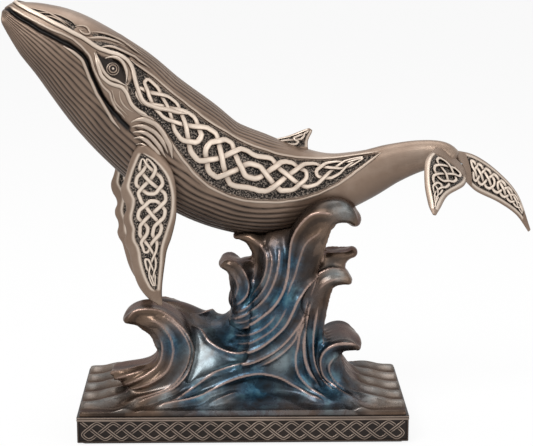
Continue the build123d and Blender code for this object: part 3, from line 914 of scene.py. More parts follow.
    def build_skin(self) -> bpy.types.Object:
        """Shapes a sphere into the body's skin with its carved relief.

        Returns:
            The skin, with the layers relief and stipple.
        """
        places = (np.arange(self.rings) + 0.5) / self.rings
        corners = np.arange(self.segments) / self.segments * TAU
        place, angle = np.meshgrid(places, corners, indexing="ij")
        place = place.ravel()
        swung = (angle.ravel() - math.pi / 2 + math.pi) % TAU - math.pi
        turn = np.abs(swung)
        points = np.where((swung >= 0)[:, None], self.surface(place, turn, Side.NEAR),
                          self.surface(place, turn, Side.FAR))
        normals = np.where((swung >= 0)[:, None], self.normals(place, turn, Side.NEAR),
                           self.normals(place, turn, Side.FAR))
        panel, back, belly = self.zones(place, turn)
        sway = turn + 0.012 * np.sin(place * 31.0) + 0.01 * np.sin(place * 67.0 + turn * 5.0)
        wave = np.abs(np.sin(sway * self.pleats))
        pleat = belly * (wave ** 0.4 - 1.0)
        line = np.abs(np.sin(sway * self.back_lines))
        lined = back * (line ** 0.6 - 1.0)
        groove = np.exp(-(self.gap_to(place, turn, self.mouth_line) / 1.25) ** 2)
        ground = np.maximum(panel, self.drawn(place, turn, self.grounds))
        hollow = self.drawn(place, turn, (self.almond,))
        carve = self.pleat_depth * pleat + self.back_depth * lined - self.panel_sink * panel
        carve = carve - 0.6 * (ground > panel) - 1.8 * groove - 1.3 * hollow
        points = points + normals * carve[:, None]
        # Painted shade: the relief is lowered where the skin faces down, so the belly and the underside
        # render darker.
        under = ease(-normals[:, 2], 0.0, 1.0)
        relief = 0.08 + 1.1 * pleat + 0.9 * lined - 1.6 * groove - 0.95 * hollow - 0.45 * under
        shape = (self.rings, self.segments)
        layers = {"relief": relief.reshape(shape), "stipple": (ground * (1.0 - hollow)).reshape(shape)}
        return sweep("whale_body_skin", points.reshape(*shape, 3), layers, closed=False)

    def lay_line(self, name: str, rows: Array, ribbon: Ribbon, side: Side) -> bpy.types.Object:
        """Lays an open ribbon along rows of place and turn, tapered at both ends.

        Args:
            name: the new piece's name.
            rows: the line's rows.
            ribbon: the band to lay.
            side: the flank.
        Returns:
            The new piece.
        """
        points = self.surface(rows[:, 0], rows[:, 1], side)
        normals = self.normals(rows[:, 0], rows[:, 1], side)
        index = np.arange(len(rows))
        taper = 0.25 + 0.75 * ease(np.minimum(index, index[::-1]), 0, 7)
        return ribbon.lay(name, points, normals, np.zeros(len(rows)), taper, closed=False)

    def smooth_rows(self, pixels: tuple, step: float = 0.9) -> Array:
        """Pixels placed on the flank and smoothed into an even line.

        Args:
            pixels: places in the photograph.
            step: the distance between rows, in millimetres.
        Returns:
            Rows of place and turn.
        """
        rows = self.pin(even_points(np.array(pixels, float), 6.0))
        scale = np.array([self.run, 24.0])
        return even_points(rows * scale, step) / scale

    def build_face(self, side: Side) -> bpy.types.Object:
        """The raised lines round the mouth, the brow and the eye, and the eye itself.

        Args:
            side: the flank.
        Returns:
            All lines and the eye joined as one piece.
        """
        pieces = []
        for width, height, pixels in self.face_lines:
            rows = self.smooth_rows(pixels)
            ribbon = Ribbon(width, height, 1.2, gloss=0.3 * width)
            pieces.append(self.lay_line("face_line", rows, ribbon, side))
        for width, height, pixels in self.folds:
            rows = self.smooth_rows(pixels)
            pieces.append(self.lay_line("fold", rows, Ribbon(width, height, 1.8, gloss=0.55), side))
        for line in (self.top_line, self.foot_line):
            rows = even_points(line[::5] * np.array([self.run, 24.0]), 1.0) / np.array([self.run, 24.0])
            pieces.append(self.lay_line("panel_rim", rows, Ribbon(1.5, 0.55, 1.6, gloss=0.5), side))
        pieces.append(self.build_eye(side))
        name = "face_lines_" + side.name.lower()
        return join(name, pieces)

    def build_eye(self, side: Side) -> bpy.types.Object:
        """A domed eye with a ringed iris.

        Args:
            side: the flank.
        Returns:
            The eye as a piece.
        """
        row = self.pin(np.array([self.eye_pixel]))
        centre = self.surface(row[:, 0], row[:, 1], side)[0]
        out = self.normals(row[:, 0], row[:, 1], side)[0]
        along = unit(np.cross(out, np.array([0.0, 1.0, 0.0])))
        up = np.cross(out, along)
        radii = np.concatenate([np.linspace(0.06, 1.0, 30), np.linspace(0.95, 0.3, 4)])
        dome = np.sqrt(np.clip(1.0 - radii ** 2, 0.0, 1.0))
        tone = np.interp(radii, self.iris_places, self.iris_tones)
        height = np.where(np.arange(34) < 30, 1.8 * dome + 0.2 * tone - 1.2, -2.4)
        angle = np.arange(32) / 32 * TAU
        flat = np.cos(angle)[:, None] * along + np.sin(angle)[:, None] * up
        points = centre + self.eye_radius * radii[:, None, None] * flat[None] + height[:, None, None] * out
        relief = np.repeat(tone[:, None], 32, axis=1)
        return sweep("eye", points, {"relief": relief, "stipple": np.zeros(relief.shape)}, closed=False)

    def build_knots(self, side: Side) -> bpy.types.Object:
        """The interlaced ribbons of one flank's panel.

        Args:
            side: the flank.
        Returns:
            All strands joined as one piece.
        """
        columns, rows = self.panel_units
        breaks = ((7, 2, Turn.UPRIGHT), (12, 1, Turn.LEVEL), (12, 3, Turn.LEVEL), (17, 2, Turn.UPRIGHT))
        plait = Interlace(columns, rows, breaks)
        start = max(self.top_line[0, 0], self.foot_line[0, 0]) + 3.0 / self.run
        end = min(self.top_line[-1, 0], self.foot_line[-1, 0]) - 7.0 / self.run
        ribbon = Ribbon(3.0, 0.4, 1.6, weave=0.5, gloss=0.85)
        pieces = []
        for strand, closed in plait.strands(8):
            place = start + (end - start) * strand[:, 0]
            size = self.radius(place)
            top = np.interp(place, *self.top_line.T) + 1.8 / size
            foot = np.interp(place, *self.foot_line.T) - 3.2 / size
            turn = top + (foot - top) * strand[:, 1]
            cell = np.minimum((foot - top) * size / (2 * rows), (end - start) * self.run / (2 * columns))
            widths = np.clip(cell / 4.6, 0.3, 1.0)
            points = self.surface(place, turn, side)
            normals = self.normals(place, turn, side)
            pieces.append(ribbon.lay("strand", points, normals, strand[:, 2], widths, closed))
        return join("flank_knots_" + side.name.lower(), pieces)

    def build(self, finish: bpy.types.Material) -> None:
        """Builds the skin, both faces and both knot panels.

        Args:
            finish: the whale's bronze.
        """
        skin = self.build_skin()
        face_outwards(skin)
        settle(skin, finish, Slot.WHALE, "whale_body")
        for side in Side:
            for piece in (self.build_face(side), self.build_knots(side)):
                face_outwards(piece)
                settle(piece, finish, Slot.WHALE)


@dataclass
class Blade:
    """A flipper, fluke or fin: a thin limb between two edges, with a sunk knot panel on each face."""

    name: str
    node: str
    lead: Array
    trail: Array
    half_thick: Array
    plait: Interlace
    ribbon: Ribbon
    sides: Array
    panel: tuple
    margin: float = 0.8
    sink: float = 0.7
    rings: int = 150
    segments: int = 112
    bluntness: float = 0.62

    def at(self, values: Array, place: Array) -> Array:
        """Values of the stations, read at shares of the way from root to tip."""
        return curve_at(values, place * (len(values) - 1))

    def faces(self, place: Array) -> tuple:
        """The middle, half chord and face direction at places along the blade.

        Args:
            place: shares of the way from root to tip.
        Returns:
            Three arrays, one row for each place.
        """
        lead = self.at(self.lead, place)
        trail = self.at(self.trail, place)
        ahead = self.at(self.lead + self.trail, np.minimum(place + 0.02, 1.0))
        behind = self.at(self.lead + self.trail, np.maximum(place - 0.02, 0.0))
        face = unit(np.cross(trail - lead, ahead - behind))
        return (lead + trail) / 2, (trail - lead) / 2, face

    def surface(self, place: Array, chord: Array, face: float) -> tuple:
        """Points of one plain face and its directions.

        Args:
            place: shares of the way from root to tip.
            chord: places across, from -1 at the leading edge to 1.
            face: 1 for one face and -1 for the other.
        Returns:
            Points and outward directions, one row each.
        """
        middle, half, out = self.faces(place)
        thick = self.at(self.half_thick[:, None], place)[:, 0]
        bulge = np.clip(1.0 - np.abs(chord) ** 2, 0.0, 1.0) ** self.bluntness
        points = middle + half * chord[:, None] + out * (face * thick * bulge)[:, None]
        return points, out * np.broadcast_to(face, chord.shape)[:, None]

    def build_skin(self) -> bpy.types.Object:
        """Shapes a sphere into the blade with its rim and sunk panels.

        Returns:
            The skin, with the layers relief and stipple.
        """
        places = (1.0 - np.cos(np.linspace(0.02, 1.0, self.rings) * math.pi)) / 2
        places = 0.5 * places + 0.5 * np.linspace(0.002, 0.998, self.rings)
        corners = np.arange(self.segments) / self.segments * TAU
        place, angle = (grid.ravel() for grid in np.meshgrid(places, corners, indexing="ij"))
        chord = np.cos(angle)
        face = np.where(np.sin(angle) >= 0, 1.0, -1.0)
        points, out = self.surface(place, chord, face)
        half = np.linalg.norm(self.faces(place)[1], axis=1)
        low, high = self.at(self.sides, place).T
        edge = np.minimum(chord - low, high - chord) * half
        inside = ease(edge, 0.0, 0.7)
        span = ease(place, self.panel[0], self.panel[0] + 0.02)
        span = span * (1.0 - ease(place, self.panel[1] - 0.02, self.panel[1]))
        ground = inside * span
        points = points - out * (self.sink * ground)[:, None]
        rim = np.exp(-((edge + 0.5) / 0.7) ** 2) * span
        shape = (self.rings, self.segments)
        layers = {"relief": (0.05 + 0.75 * rim).reshape(shape), "stipple": ground.reshape(shape)}
        return sweep(self.name + "_skin", points.reshape(*shape, 3), layers, closed=False)

    def build_knots(self) -> bpy.types.Object:
        """The interlaced ribbons on both faces, as one piece.

        Returns:
            All strands joined.
        """
        pieces = []
        start, end = self.panel[0] + 0.02, self.panel[1] - 0.02
        for face in (1.0, -1.0):
            for strand, closed in self.plait.strands(6):
                place = start + (end - start) * strand[:, 0]
                half = np.linalg.norm(self.faces(place)[1], axis=1)
                low, high = self.at(self.sides, place).T
                room = np.maximum(high - low - 2 * self.margin / half, 0.02)
                chord = (low + high) / 2 + (strand[:, 1] - 0.5) * room
                points, out = self.surface(place, chord, face)
                cell = room * half / (2 * self.plait.rows)
                widths = np.clip(cell / (1.45 * self.ribbon.width), 0.4, 1.0)
                pieces.append(self.ribbon.lay("strand", points, out, strand[:, 2], widths, closed))
        return join(self.name + "_knots", pieces)

    def build(self, finish: bpy.types.Material) -> None:
        """Builds the skin and its knots in the given finish.

        Args:
            finish: the whale's bronze.
        """
        skin = self.build_skin()
        face_outwards(skin)
        settle(skin, finish, Slot.WHALE, self.node)
        knots = self.build_knots()
        face_outwards(knots)
        settle(knots, finish, Slot.WHALE)


def even_rim(lead: Array, trail: Array, rim: float) -> Array:
    """The two sides of a panel that keeps a rim of even width, as places across the chord."""
    share = np.minimum(rim / np.maximum(np.linalg.norm(trail - lead, axis=1) / 2, 1e-6), 0.95)
    return np.stack([share - 1.0, 1.0 - share], axis=1)


@dataclass(frozen=True)
class Fins:
    """The whale's limbs: two flippers, two flukes and the dorsal fin."""

    camera: PhotoCamera
    flipper_thickness: float = 7.0
    fluke_span: float = 100.0
    fluke_thickness: float = 6.0
    fin_length: float = 32.0
    fin_height: float = 9.0
    fin_thickness: float = 5.0

    # Pixels down the flipper's two edges and down the two sides of its panel
    flipper_lead = ((138, 145), (133.5, 152), (128.5, 165), (125, 177.5), (121, 188), (122, 197),
                    (126.5, 208), (123, 219), (126.5, 231), (124.5, 242), (129, 252), (131.4, 263),
                    (134.5, 276), (140, 288.5), (148.5, 298.5), (158, 305))
    flipper_trail = ((149, 145), (161.3, 154.6), (171.5, 168.7), (176, 186.5), (176.6, 202), (176, 218.4),
                     (171.5, 237.6), (167, 250.3), (165, 263), (162.6, 282), (162, 295), (163, 305))
    flipper_panel_lead = ((141, 151), (136.5, 162), (132, 174), (129.5, 187), (133, 194), (135, 201),
                          (132, 217), (135, 228), (134.5, 237.5), (139.5, 248), (141.5, 260.5),
                          (145, 273), (151, 286), (157, 291))
    flipper_panel_trail = ((142.5, 151), (155, 160), (166, 174), (171, 189), (172, 202), (170.5, 216),
                           (166, 231), (161.3, 246.5), (160, 263), (158.8, 276), (157.5, 291))
    flipper_rows = (145.0, 305.0, 28)
    near_root = (0.012, -0.48, -0.09)
    near_lean = (0.045, 0.024)
    # Leading edge, trailing edge and thickness from the tail's end
    left_fluke = (
        ((-0.100, 0.000, 0.082), (0.055, -0.020, -0.064), 1.00),
        ((-0.167, -0.140, 0.040), (0.027, -0.140, -0.092), 0.90),
        ((-0.186, -0.280, -0.051), (-0.069, -0.280, -0.114), 0.70),
        ((-0.179, -0.400, -0.133), (-0.120, -0.400, -0.152), 0.45),
        ((-0.165, -0.460, -0.168), (-0.147, -0.460, -0.174), 0.15),
    )
    right_fluke = (
        ((-0.020, 0.020, 0.065), (0.055, -0.010, -0.095), 1.00),
        ((0.106, 0.070, 0.026), (0.116, 0.040, -0.157), 0.90),
        ((0.234, 0.120, -0.067), (0.236, 0.100, -0.224), 0.75),
        ((0.347, 0.160, -0.196), (0.340, 0.150, -0.302), 0.50),
        ((0.424, 0.190, -0.388), (0.412, 0.188, -0.400), 0.15),
    )
    # Leading edge, trailing edge and thickness from the fin's foot, by its length and height
    fin = (
        ((0.02, -0.35), (0.95, -0.60), 1.0),
        ((0.22, 0.20), (0.93, 0.02), 0.9),
        ((0.60, 0.55), (0.94, 0.35), 0.7),
        ((0.84, 0.88), (0.99, 0.72), 0.45),
        ((0.95, 1.00), (1.00, 0.88), 0.2),
    )

    def whale_point(self, place: float, swing: float, rise: float) -> Array:
        """A point of the whale from its shares."""
        return SEAT + np.array([place * WHALE_LENGTH, swing * SIDE_SWING, rise * WHALE_RISE])

    def flipper(self, name: str, root: tuple, lean: tuple, plait: Interlace) -> Blade:
        """One flipper as a blade.

        Args:
            name: its node's name.
            root: where it leaves the shoulder, as shares of the body's length, width and height.
            lean: how far it leans along and outwards.
            plait: its knotwork.
        Returns:
            The flipper, ready to build.
        """
        shoulder = self.whale_point(-0.2385, -0.19, 0.286)
        scale = np.array([WHALE_LENGTH, BODY_WIDTH, BODY_HEIGHT])
        rows = np.linspace(*self.flipper_rows)
        near_start = shoulder + np.array(self.near_root) * scale
        near, near_across, near_down = self.flipper_plane(near_start, self.near_lean)
        start, across, down = self.flipper_plane(shoulder + np.array(root) * scale, lean)
        edges = []
        for pixels in (self.flipper_lead, self.flipper_trail):
            fine = even_points(np.array(pixels, float), 1.0)
            rays = self.camera.rays(np.stack([np.interp(rows, fine[:, 1], fine[:, 0]), rows], axis=1))
            eye = np.array(self.camera.place)
            out = np.cross(near_across, near_down)
            points = eye + rays * ((near - eye) @ out / (rays @ out))[:, None] - near
            edge = (points @ near_across)[:, None] * across + (points @ near_down)[:, None] * down
            edges.append(start + edge)
        sides = []
        for pixels in (self.flipper_panel_lead, self.flipper_panel_trail):
            fine = even_points(np.array(pixels, float), 1.0)
            outer = [np.interp(rows, *even_points(np.array(line, float), 1.0).T[::-1])
                     for line in (self.flipper_lead, self.flipper_trail)]
            place = np.interp(rows, fine[:, 1], fine[:, 0])
            sides.append(2.0 * (place - outer[0]) / (outer[1] - outer[0]) - 1.0)
        first, last, count = self.flipper_rows
        panel = [(fine[place, 1] - first) / (last - first) for place in (0, -1)]
        thick = 0.5 * self.flipper_thickness * np.interp(
            np.linspace(0, 1, count), (0.0, 0.1, 0.25, 0.8, 0.93, 1.0), (0.7, 1.1, 1.0, 0.85, 0.6, 0.2))
        return Blade(name, name, *edges, thick, plait, Ribbon(2.0, 0.2, 1.2, weave=0.35),
                     np.stack(sides, axis=1), tuple(panel), margin=1.3)

    def flipper_plane(self, start: Array, lean: tuple) -> tuple:
        """A flipper's root, with its directions across and down."""
        down = unit(np.array([lean[0], lean[1], -1.0]))
        return start, unit(np.array([1.0, 0.0, 0.0]) - down * down[0]), down

    def fluke(self, name: str, stations: tuple, plait: Interlace) -> Blade:
        """One fluke as a blade.

        Args:
            name: its node's name.
            stations: its edges and thickness from root to tip.
            plait: its knotwork.
        Returns:
            The fluke, ready to build.
        """
        tail = self.whale_point(0.4535, -0.165, 0.097)
        lead = tail + self.fluke_span * np.array([row[0] for row in stations])
        trail = tail + self.fluke_span * np.array([row[1] for row in stations])
        thick = 0.5 * self.fluke_thickness * np.array([row[2] for row in stations])
        return Blade(name, name, lead, trail, thick, plait, Ribbon(1.6, 0.2, 1.0, weave=0.3),
                     even_rim(lead, trail, 2.2), (0.12, 0.86))

    def dorsal(self) -> Blade:
        """The low dorsal fin as a blade.

        Returns:
            The fin, ready to build.
        """
        foot = self.whale_point(-0.008, 0.11, 0.168)
        size = np.array([self.fin_length, 0.0, self.fin_height])
        lead = foot + size * np.array([(row[0][0], 0.0, row[0][1]) for row in self.fin])
        trail = foot + size * np.array([(row[1][0], 0.0, row[1][1]) for row in self.fin])
        thick = 0.5 * self.fin_thickness * np.array([row[2] for row in self.fin])
        return Blade("dorsal_fin", "dorsal_fin", lead, trail, thick, Interlace(3, 1),
                     Ribbon(1.1, 0.2, 0.8, weave=0.2), even_rim(lead, trail, 1.3), (0.2, 0.9),
                     rings=60, segments=64)

    def build(self, finish: bpy.types.Material) -> None:
        """Builds all five limbs in the given finish.

        Args:
            finish: the whale's bronze.
        """
        knots = Interlace(8, 2, ((5, 2, Turn.UPRIGHT), (9, 2, Turn.LEVEL), (12, 1, Turn.UPRIGHT)))
        self.flipper("left_flipper", self.near_root, self.near_lean, knots).build(finish)
        self.flipper("right_flipper", (-0.030, 0.42, -0.19), (0.10, 0.080), knots).build(finish)
        self.fluke("left_fluke", self.left_fluke, Interlace(6, 2, ((5, 2, Turn.UPRIGHT),))).build(finish)
        self.fluke("right_fluke", self.right_fluke, Interlace(8, 2, ((7, 2, Turn.UPRIGHT),))).build(finish)
        self.dorsal().build(finish)


@dataclass
class Sea:
    """The waves: one flowing skin over the swell, the mound and the crests, with ridges drawn along it."""

    camera: PhotoCamera
    voxel: float = 0.85
    crest_thickness: float = 20.0
    crest_width: float = 44.0
    ridge_height: float = 2.3
    ridge_width: float = 1.7
    ridge_line: float = 0.75
    edge_margin: float = 0.9
    edge_height: float = 4.6
    edge_sink: float = 1.2
    swell_spacing: float = 15.5
    swell_height: float = 2.4
    even_steps: int = 14
    crease_steps: int = 70
    nose_shares: tuple = (0.6, 0.5, 0.55)
    ripple_run: tuple = (44.0, 68.0)
    ripple_rise: tuple = (6.0, 13.0)

    nodes = ("sea_swell", "wave_mound", "left_breaker", "mid_left_curl", "upper_left_curl",
             "upper_right_hook", "mid_right_finger", "mid_right_curl", "lower_right_breaker")
    # Pixels along the ridges that show on the near side, each list with a strength
    drawn = (
        (1.0, ((125, 323), (133.5, 313), (145, 310), (159, 311.5), (170, 318), (182, 329), (189, 340),
               (192, 351), (190, 363), (186, 374), (179, 383), (169, 391), (152, 398), (133, 404))),
        (0.9, ((161, 314.5), (170, 321), (179, 329.5), (186.5, 341), (189, 351), (186, 365), (179, 377.5),
               (170, 387), (152, 395), (129, 401.5), (106, 406), (81, 411))),
        (0.9, ((143, 319), (157.5, 322.5), (167, 332), (172, 342), (173, 354.5), (167, 370.5), (152, 382),
               (131, 390), (106, 399), (82, 403))),
        (0.9, ((156, 334), (162, 342), (163, 353.5), (159, 365), (147, 375), (129, 383), (106, 389),
               (85, 393))),
        (0.8, ((152, 367), (140, 372), (115, 378.5), (87.5, 382))),
        (0.8, ((149.5, 362.5), (134.5, 368.5), (112, 373), (89, 377.5))),
        (1.1, ((193, 325), (201, 330.5), (209, 342), (223, 351), (240, 354), (258, 348.5), (273.5, 337.5),
               (285.5, 325.5), (293, 311.5), (298, 299.5), (307, 285.5), (319, 275), (331.5, 270),
               (344, 272), (351, 278))),
        (1.1, ((338, 216.5), (322.5, 213), (310, 216.5), (299.5, 227.5), (293, 241), (290, 259.5),
               (287, 278), (282.5, 293), (273.5, 307), (261, 318), (250, 325.5), (238, 330))),
        (0.8, ((327, 230.5), (316, 235), (305.5, 244), (299.5, 259.5), (295, 275), (290, 287),
               (285.5, 302.5))),
        (0.9, ((279.5, 241), (279.5, 256.5), (276.5, 275), (270, 291.5), (261, 304), (249, 313), (237, 318),
               (226, 321))),
        (0.8, ((267, 244), (272, 259.5), (269, 278), (263, 291.5), (253.5, 302.5), (243, 310),
               (230.5, 314.5))),
        (0.8, ((246, 238), (258, 243), (266, 253.5), (267, 267), (263, 281), (255, 293), (246, 302.5))),
        (1.0, ((220, 264), (226, 261), (235, 264), (243, 272), (247.5, 284), (246, 295), (240, 302.5),
               (230.5, 308.5))),
        (0.7, ((227.5, 272), (235, 278), (238, 287), (235, 298), (229, 307))),
        (0.7, ((226, 321), (240, 322.5), (253.5, 318), (266, 310))),
        (0.8, ((229, 333), (243, 336), (258, 331.5), (270, 322.5), (279.5, 310))),
        (0.8, ((230.5, 342), (246, 344), (261, 337.5), (273.5, 328.5), (282.5, 316), (289, 302.5))),
        (1.0, ((152, 407), (175, 401), (200, 382), (215, 373), (234, 366.5), (253.5, 362), (272, 353),
               (285.5, 342), (296.5, 328.5), (304, 316), (310, 302.5))),
        (0.9, ((256.5, 368), (273.5, 359), (285.5, 350), (295, 339), (299.5, 325.5), (304, 311.5),
               (310, 296))),
        (1.1, ((152, 408), (175, 403), (200, 397), (223, 383.5), (243, 376), (261, 373.5), (279.5, 377.5),
               (295, 386.5), (310, 396), (327, 402))),
        (0.7, ((206, 405), (223, 397.5), (243, 389.5))),
        (1.0, ((307, 313), (301, 328.5), (298, 345), (295.5, 359), (298, 373), (305.5, 383.5), (316, 393),
               (331.5, 400.5))),
        (1.0, ((313, 296), (307, 314.5), (304, 333), (304, 351.5), (307, 366.5), (313, 379),
               (322.5, 389.5))),
        (1.0, ((318.5, 304), (315, 321), (312.5, 340.5), (313, 359), (318, 373), (327, 385), (338, 394))),
        (1.1, ((362, 348.5), (353, 344.5), (338, 344.5), (327, 350), (321.5, 359), (322.5, 371), (330, 382),
               (342.5, 393), (361, 400.5), (376, 405))),
        (0.8, ((342.5, 356), (333, 359), (329, 368), (334.5, 380.5), (347, 391), (365, 400.5))),
        (0.8, ((351.5, 360.5), (361, 371), (380, 379), (395, 384))),
        (0.8, ((353, 368), (365, 382), (380, 394), (398, 402))),
        (0.7, ((352, 364), (363, 376), (380, 386), (397, 393))),
        (0.8, ((347, 282.5), (334.5, 279.5), (322.5, 285.5), (316, 296))),
        (0.8, ((353, 249), (342.5, 253.5), (331.5, 253.5), (322.5, 249))),
    )
    # Foot to tip of each crest: place along X, rise, thickness and width, after its place across
    crests = (
        (-0.13, ((-0.222, 0.185, 1.00, 0.70), (-0.208, 0.290, 0.93, 0.68), (-0.232, 0.372, 0.85, 0.68),
                 (-0.264, 0.412, 0.72, 0.66), (-0.307, 0.432, 0.54, 0.62), (-0.344, 0.422, 0.34, 0.56),
                 (-0.360, 0.407, 0.19, 0.46))),
        (-0.01, ((0.290, 0.100, 0.75, 0.98), (0.268, 0.185, 0.60, 0.98), (0.270, 0.250, 0.50, 0.98),
                 (0.298, 0.280, 0.40, 0.96), (0.336, 0.272, 0.34, 0.90), (0.354, 0.257, 0.33, 0.78))),
        (-0.03, ((-0.018, 0.360, 0.50, 0.74), (0.002, 0.475, 0.45, 0.74), (-0.006, 0.560, 0.42, 0.72),
                 (-0.018, 0.625, 0.38, 0.70), (-0.042, 0.663, 0.30, 0.64), (-0.064, 0.658, 0.20, 0.54))),
        (-0.035, ((0.053, 0.440, 0.60, 0.55), (0.074, 0.536, 0.60, 0.55), (0.077, 0.640, 0.60, 0.55),
                  (0.065, 0.733, 0.50, 0.53), (0.035, 0.789, 0.40, 0.50), (0.000, 0.803, 0.26, 0.42),
                  (-0.018, 0.796, 0.22, 0.34))),
        (-0.02, ((0.141, 0.490, 0.80, 0.92), (0.165, 0.620, 0.90, 1.00), (0.183, 0.732, 0.95, 1.02),
                 (0.203, 0.834, 0.95, 1.04), (0.233, 0.910, 0.80, 1.02), (0.274, 0.940, 0.70, 0.96),
                 (0.317, 0.922, 0.56, 0.86), (0.343, 0.880, 0.42, 0.70))),
        (-0.01, ((0.263, 0.680, 0.40, 0.48), (0.306, 0.684, 0.40, 0.44), (0.340, 0.706, 0.32, 0.38))),
        (-0.07, ((0.203, 0.188, 0.80, 0.68), (0.201, 0.318, 0.75, 0.66), (0.213, 0.439, 0.70, 0.64),
                 (0.228, 0.532, 0.65, 0.62), (0.254, 0.592, 0.54, 0.60), (0.298, 0.607, 0.42, 0.56),
                 (0.327, 0.582, 0.26, 0.48))),
    )
    flute_shares = (-0.72, -0.36, 0.0, 0.36, 0.72)
    # Pixels at the middle of the full backs behind the crests, each with half sizes in millimetres
    backs = (((246, 268), (6.0, 13.0, 6.0)), ((246, 284), (6.5, 14.0, 8.0)), ((244, 298), (7.5, 15.0, 8.0)))
    back_depth = -2.5
    # Pixels at the middle of the blue pools and of the painted highlights, each with a reach
    pools = ((235, 340, 26), (262, 330, 22), (225, 372, 22), (255, 385, 22), (283, 300, 16), (285, 262, 12),
             (300, 370, 20), (315, 345, 16), (176, 345, 10), (250, 300, 14), (200, 395, 16), (330, 390, 18))
    highlight_spots = ((196, 352, 13), (205, 368, 12), (214, 399, 10), (280, 361, 9), (163, 398, 8), (345, 209, 9),
               (335, 272, 7))

    def build_form(self) -> bpy.types.Object:
        """Copies the solids of the sea, merges them and skins them over as one.

        Returns:
            The sea's plain form.
        """
        copies = []
        for name in self.nodes:
            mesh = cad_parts[name].data.copy()
            twin = bpy.data.objects.new(name + "_form", mesh)
            bpy.context.scene.collection.objects.link(twin)
            copies.append(twin)
        form = join("sea", copies + self.build_noses() + [self.build_edge()])
        bpy.ops.object.mode_set(mode="EDIT")
        bpy.ops.mesh.select_all(action="SELECT")
        bpy.ops.mesh.remove_doubles(threshold=0.01 * MM)
        bpy.ops.object.mode_set(mode="OBJECT")
        for layer in list(form.data.attributes):
            if layer.name.startswith("_") or layer.name == "custom_normal":
                form.data.attributes.remove(layer)
        remesh = form.modifiers.new("skin", "REMESH")
        remesh.mode = "VOXEL"
        remesh.voxel_size = self.voxel * MM
        bpy.ops.object.modifier_apply(modifier=remesh.name)
        self.soften(form, self.even_steps)
        self.fill_creases(form)
        form.data.polygons.foreach_set("use_smooth", np.ones(len(form.data.polygons), bool))
        return form

    def soften(self, form: bpy.types.Object, steps: int) -> None:
        """Evens the form's skin by a number of steps.

        Args:
            form: the sea.
            steps: how often it is evened.
        """
        even = form.modifiers.new("even", "SMOOTH")
        even.iterations = steps
        even.factor = 0.5
        bpy.ops.object.modifier_apply(modifier=even.name)

    def fill_creases(self, form: bpy.types.Object) -> None:
        """Raises the skin to a much softer one where that lies outside it, as a casting's fillets do.

        Args:
            form: the sea.
        """
        sharp = read_points(form)
        normals = self.normals(form)
        self.soften(form, self.crease_steps)
        rise = np.einsum("ij,ij->i", read_points(form) - sharp, normals)
        write_points(form, (sharp + normals * np.maximum(rise, 0.0)[:, None]) / MM)
        self.soften(form, 3)

    def normals(self, form: bpy.types.Object) -> Array:
        """The outward directions of a form's vertices, one row each.

        Args:
            form: the mesh to read.
        Returns:
            The rows.
        """
        flat = np.empty(3 * len(form.data.vertices))
        form.data.vertices.foreach_get("normal", flat)
        return flat.reshape(-1, 3)

    def crest_rows(self, stations: tuple) -> Array:
        """A crest's stations in millimetres."""
        sizes = (BASE_LENGTH, WAVE_RISE, self.crest_thickness, self.crest_width)
        return np.array(stations) * np.array(sizes)

    def build_noses(self) -> list:
        """Round noses for the crests, each shaped from spheres at the last two stations.

        Returns:
            The noses and the full backs, to be merged into the sea.
        """
        noses = []
        for side, stations in self.crests:
            rows = self.crest_rows(stations)
            for place, rise, thick, width in rows[-2:]:
                ahead = unit(rows[-1, :2] - rows[-2, :2])
                axes = np.array([[ahead[0], 0.0, ahead[1]], [0.0, 1.0, 0.0], [-ahead[1], 0.0, ahead[0]]])
                middle = np.array([place, side * BASE_DEPTH, PLINTH_TOP + rise])
                half_sizes = np.array(self.nose_shares) * np.array([thick, width, thick])
                noses.append(self.build_swell(half_sizes, axes, middle))
        eye = np.array(self.camera.place)
        for pixel, half_sizes in self.backs:
            ray = self.camera.rays(np.array([pixel]))[0]
            middle = eye + ray * (self.back_depth - eye[1]) / ray[1]
            noses.append(self.build_swell(np.array(half_sizes), np.eye(3), middle))
        return noses

    def build_swell(self, half_sizes: Array, axes: Array, middle: Array) -> bpy.types.Object:
        """Shapes a sphere into a rounded swelling.

        Args:
            half_sizes: its half sizes along its own axes.
            axes: those axes, one row each.
            middle: its middle.
        Returns:
            The swelling, to be merged into the sea.
        """
        deselect()
        bpy.ops.mesh.primitive_uv_sphere_add(segments=32, ring_count=18, radius=1.0)
        swell = bpy.context.active_object
        write_points(swell, read_points(swell) * half_sizes @ axes + middle)
        return swell

    def build_edge(self) -> bpy.types.Object:
        """The swell's low edge, a flat cube that reaches the plinth's bevel.

        Returns:
            The edge, to be merged into the sea.
        """
        deselect()
        bpy.ops.mesh.primitive_cube_add(size=1.0)
        edge = bpy.context.active_object
        margins = 2 * self.edge_margin
        size = np.array([BASE_LENGTH - margins, BASE_DEPTH - margins, self.edge_height])
        foot = np.array([0.0, 0.0, PLINTH_TOP - self.edge_sink])
        write_points(edge, (read_points(edge) + np.array([0.0, 0.0, 0.5])) * size + foot)
        return edge

    def cast(self, tree: BVHTree, pixels: Array) -> list:
        """Where pixels meet the sea, in millimetres, with None where they miss.

        Args:
            tree: the sea's plain form.
            pixels: rows of places in the photograph.
        Returns:
            One point or None each.
        """
        eye = Vector(self.camera.place) * MM
        hits = [tree.ray_cast(eye, Vector(ray)) for ray in self.camera.rays(pixels)]
        return [None if hit[0] is None else np.array(hit[0]) / MM for hit in hits]

    def snap(self, tree: BVHTree, points: Array, reach: float) -> list:
        """The nearest surface points, with None where they are out of reach.

        Args:
            tree: the sea's plain form.
            points: rows in millimetres.
            reach: the farthest distance, in millimetres.
        Returns:
            One point or None each.
        """
        found = [tree.find_nearest(Vector(point) * MM, reach * MM) for point in points]
        return [None if hit[0] is None else np.array(hit[0]) / MM for hit in found]

    def ridge_points(self, tree: BVHTree) -> tuple:
        """All ridge points and their strengths.

        Args:
            tree: the sea's plain form.
        Returns:
            Points in millimetres and one strength each.
        """
        points = []
        strengths = []

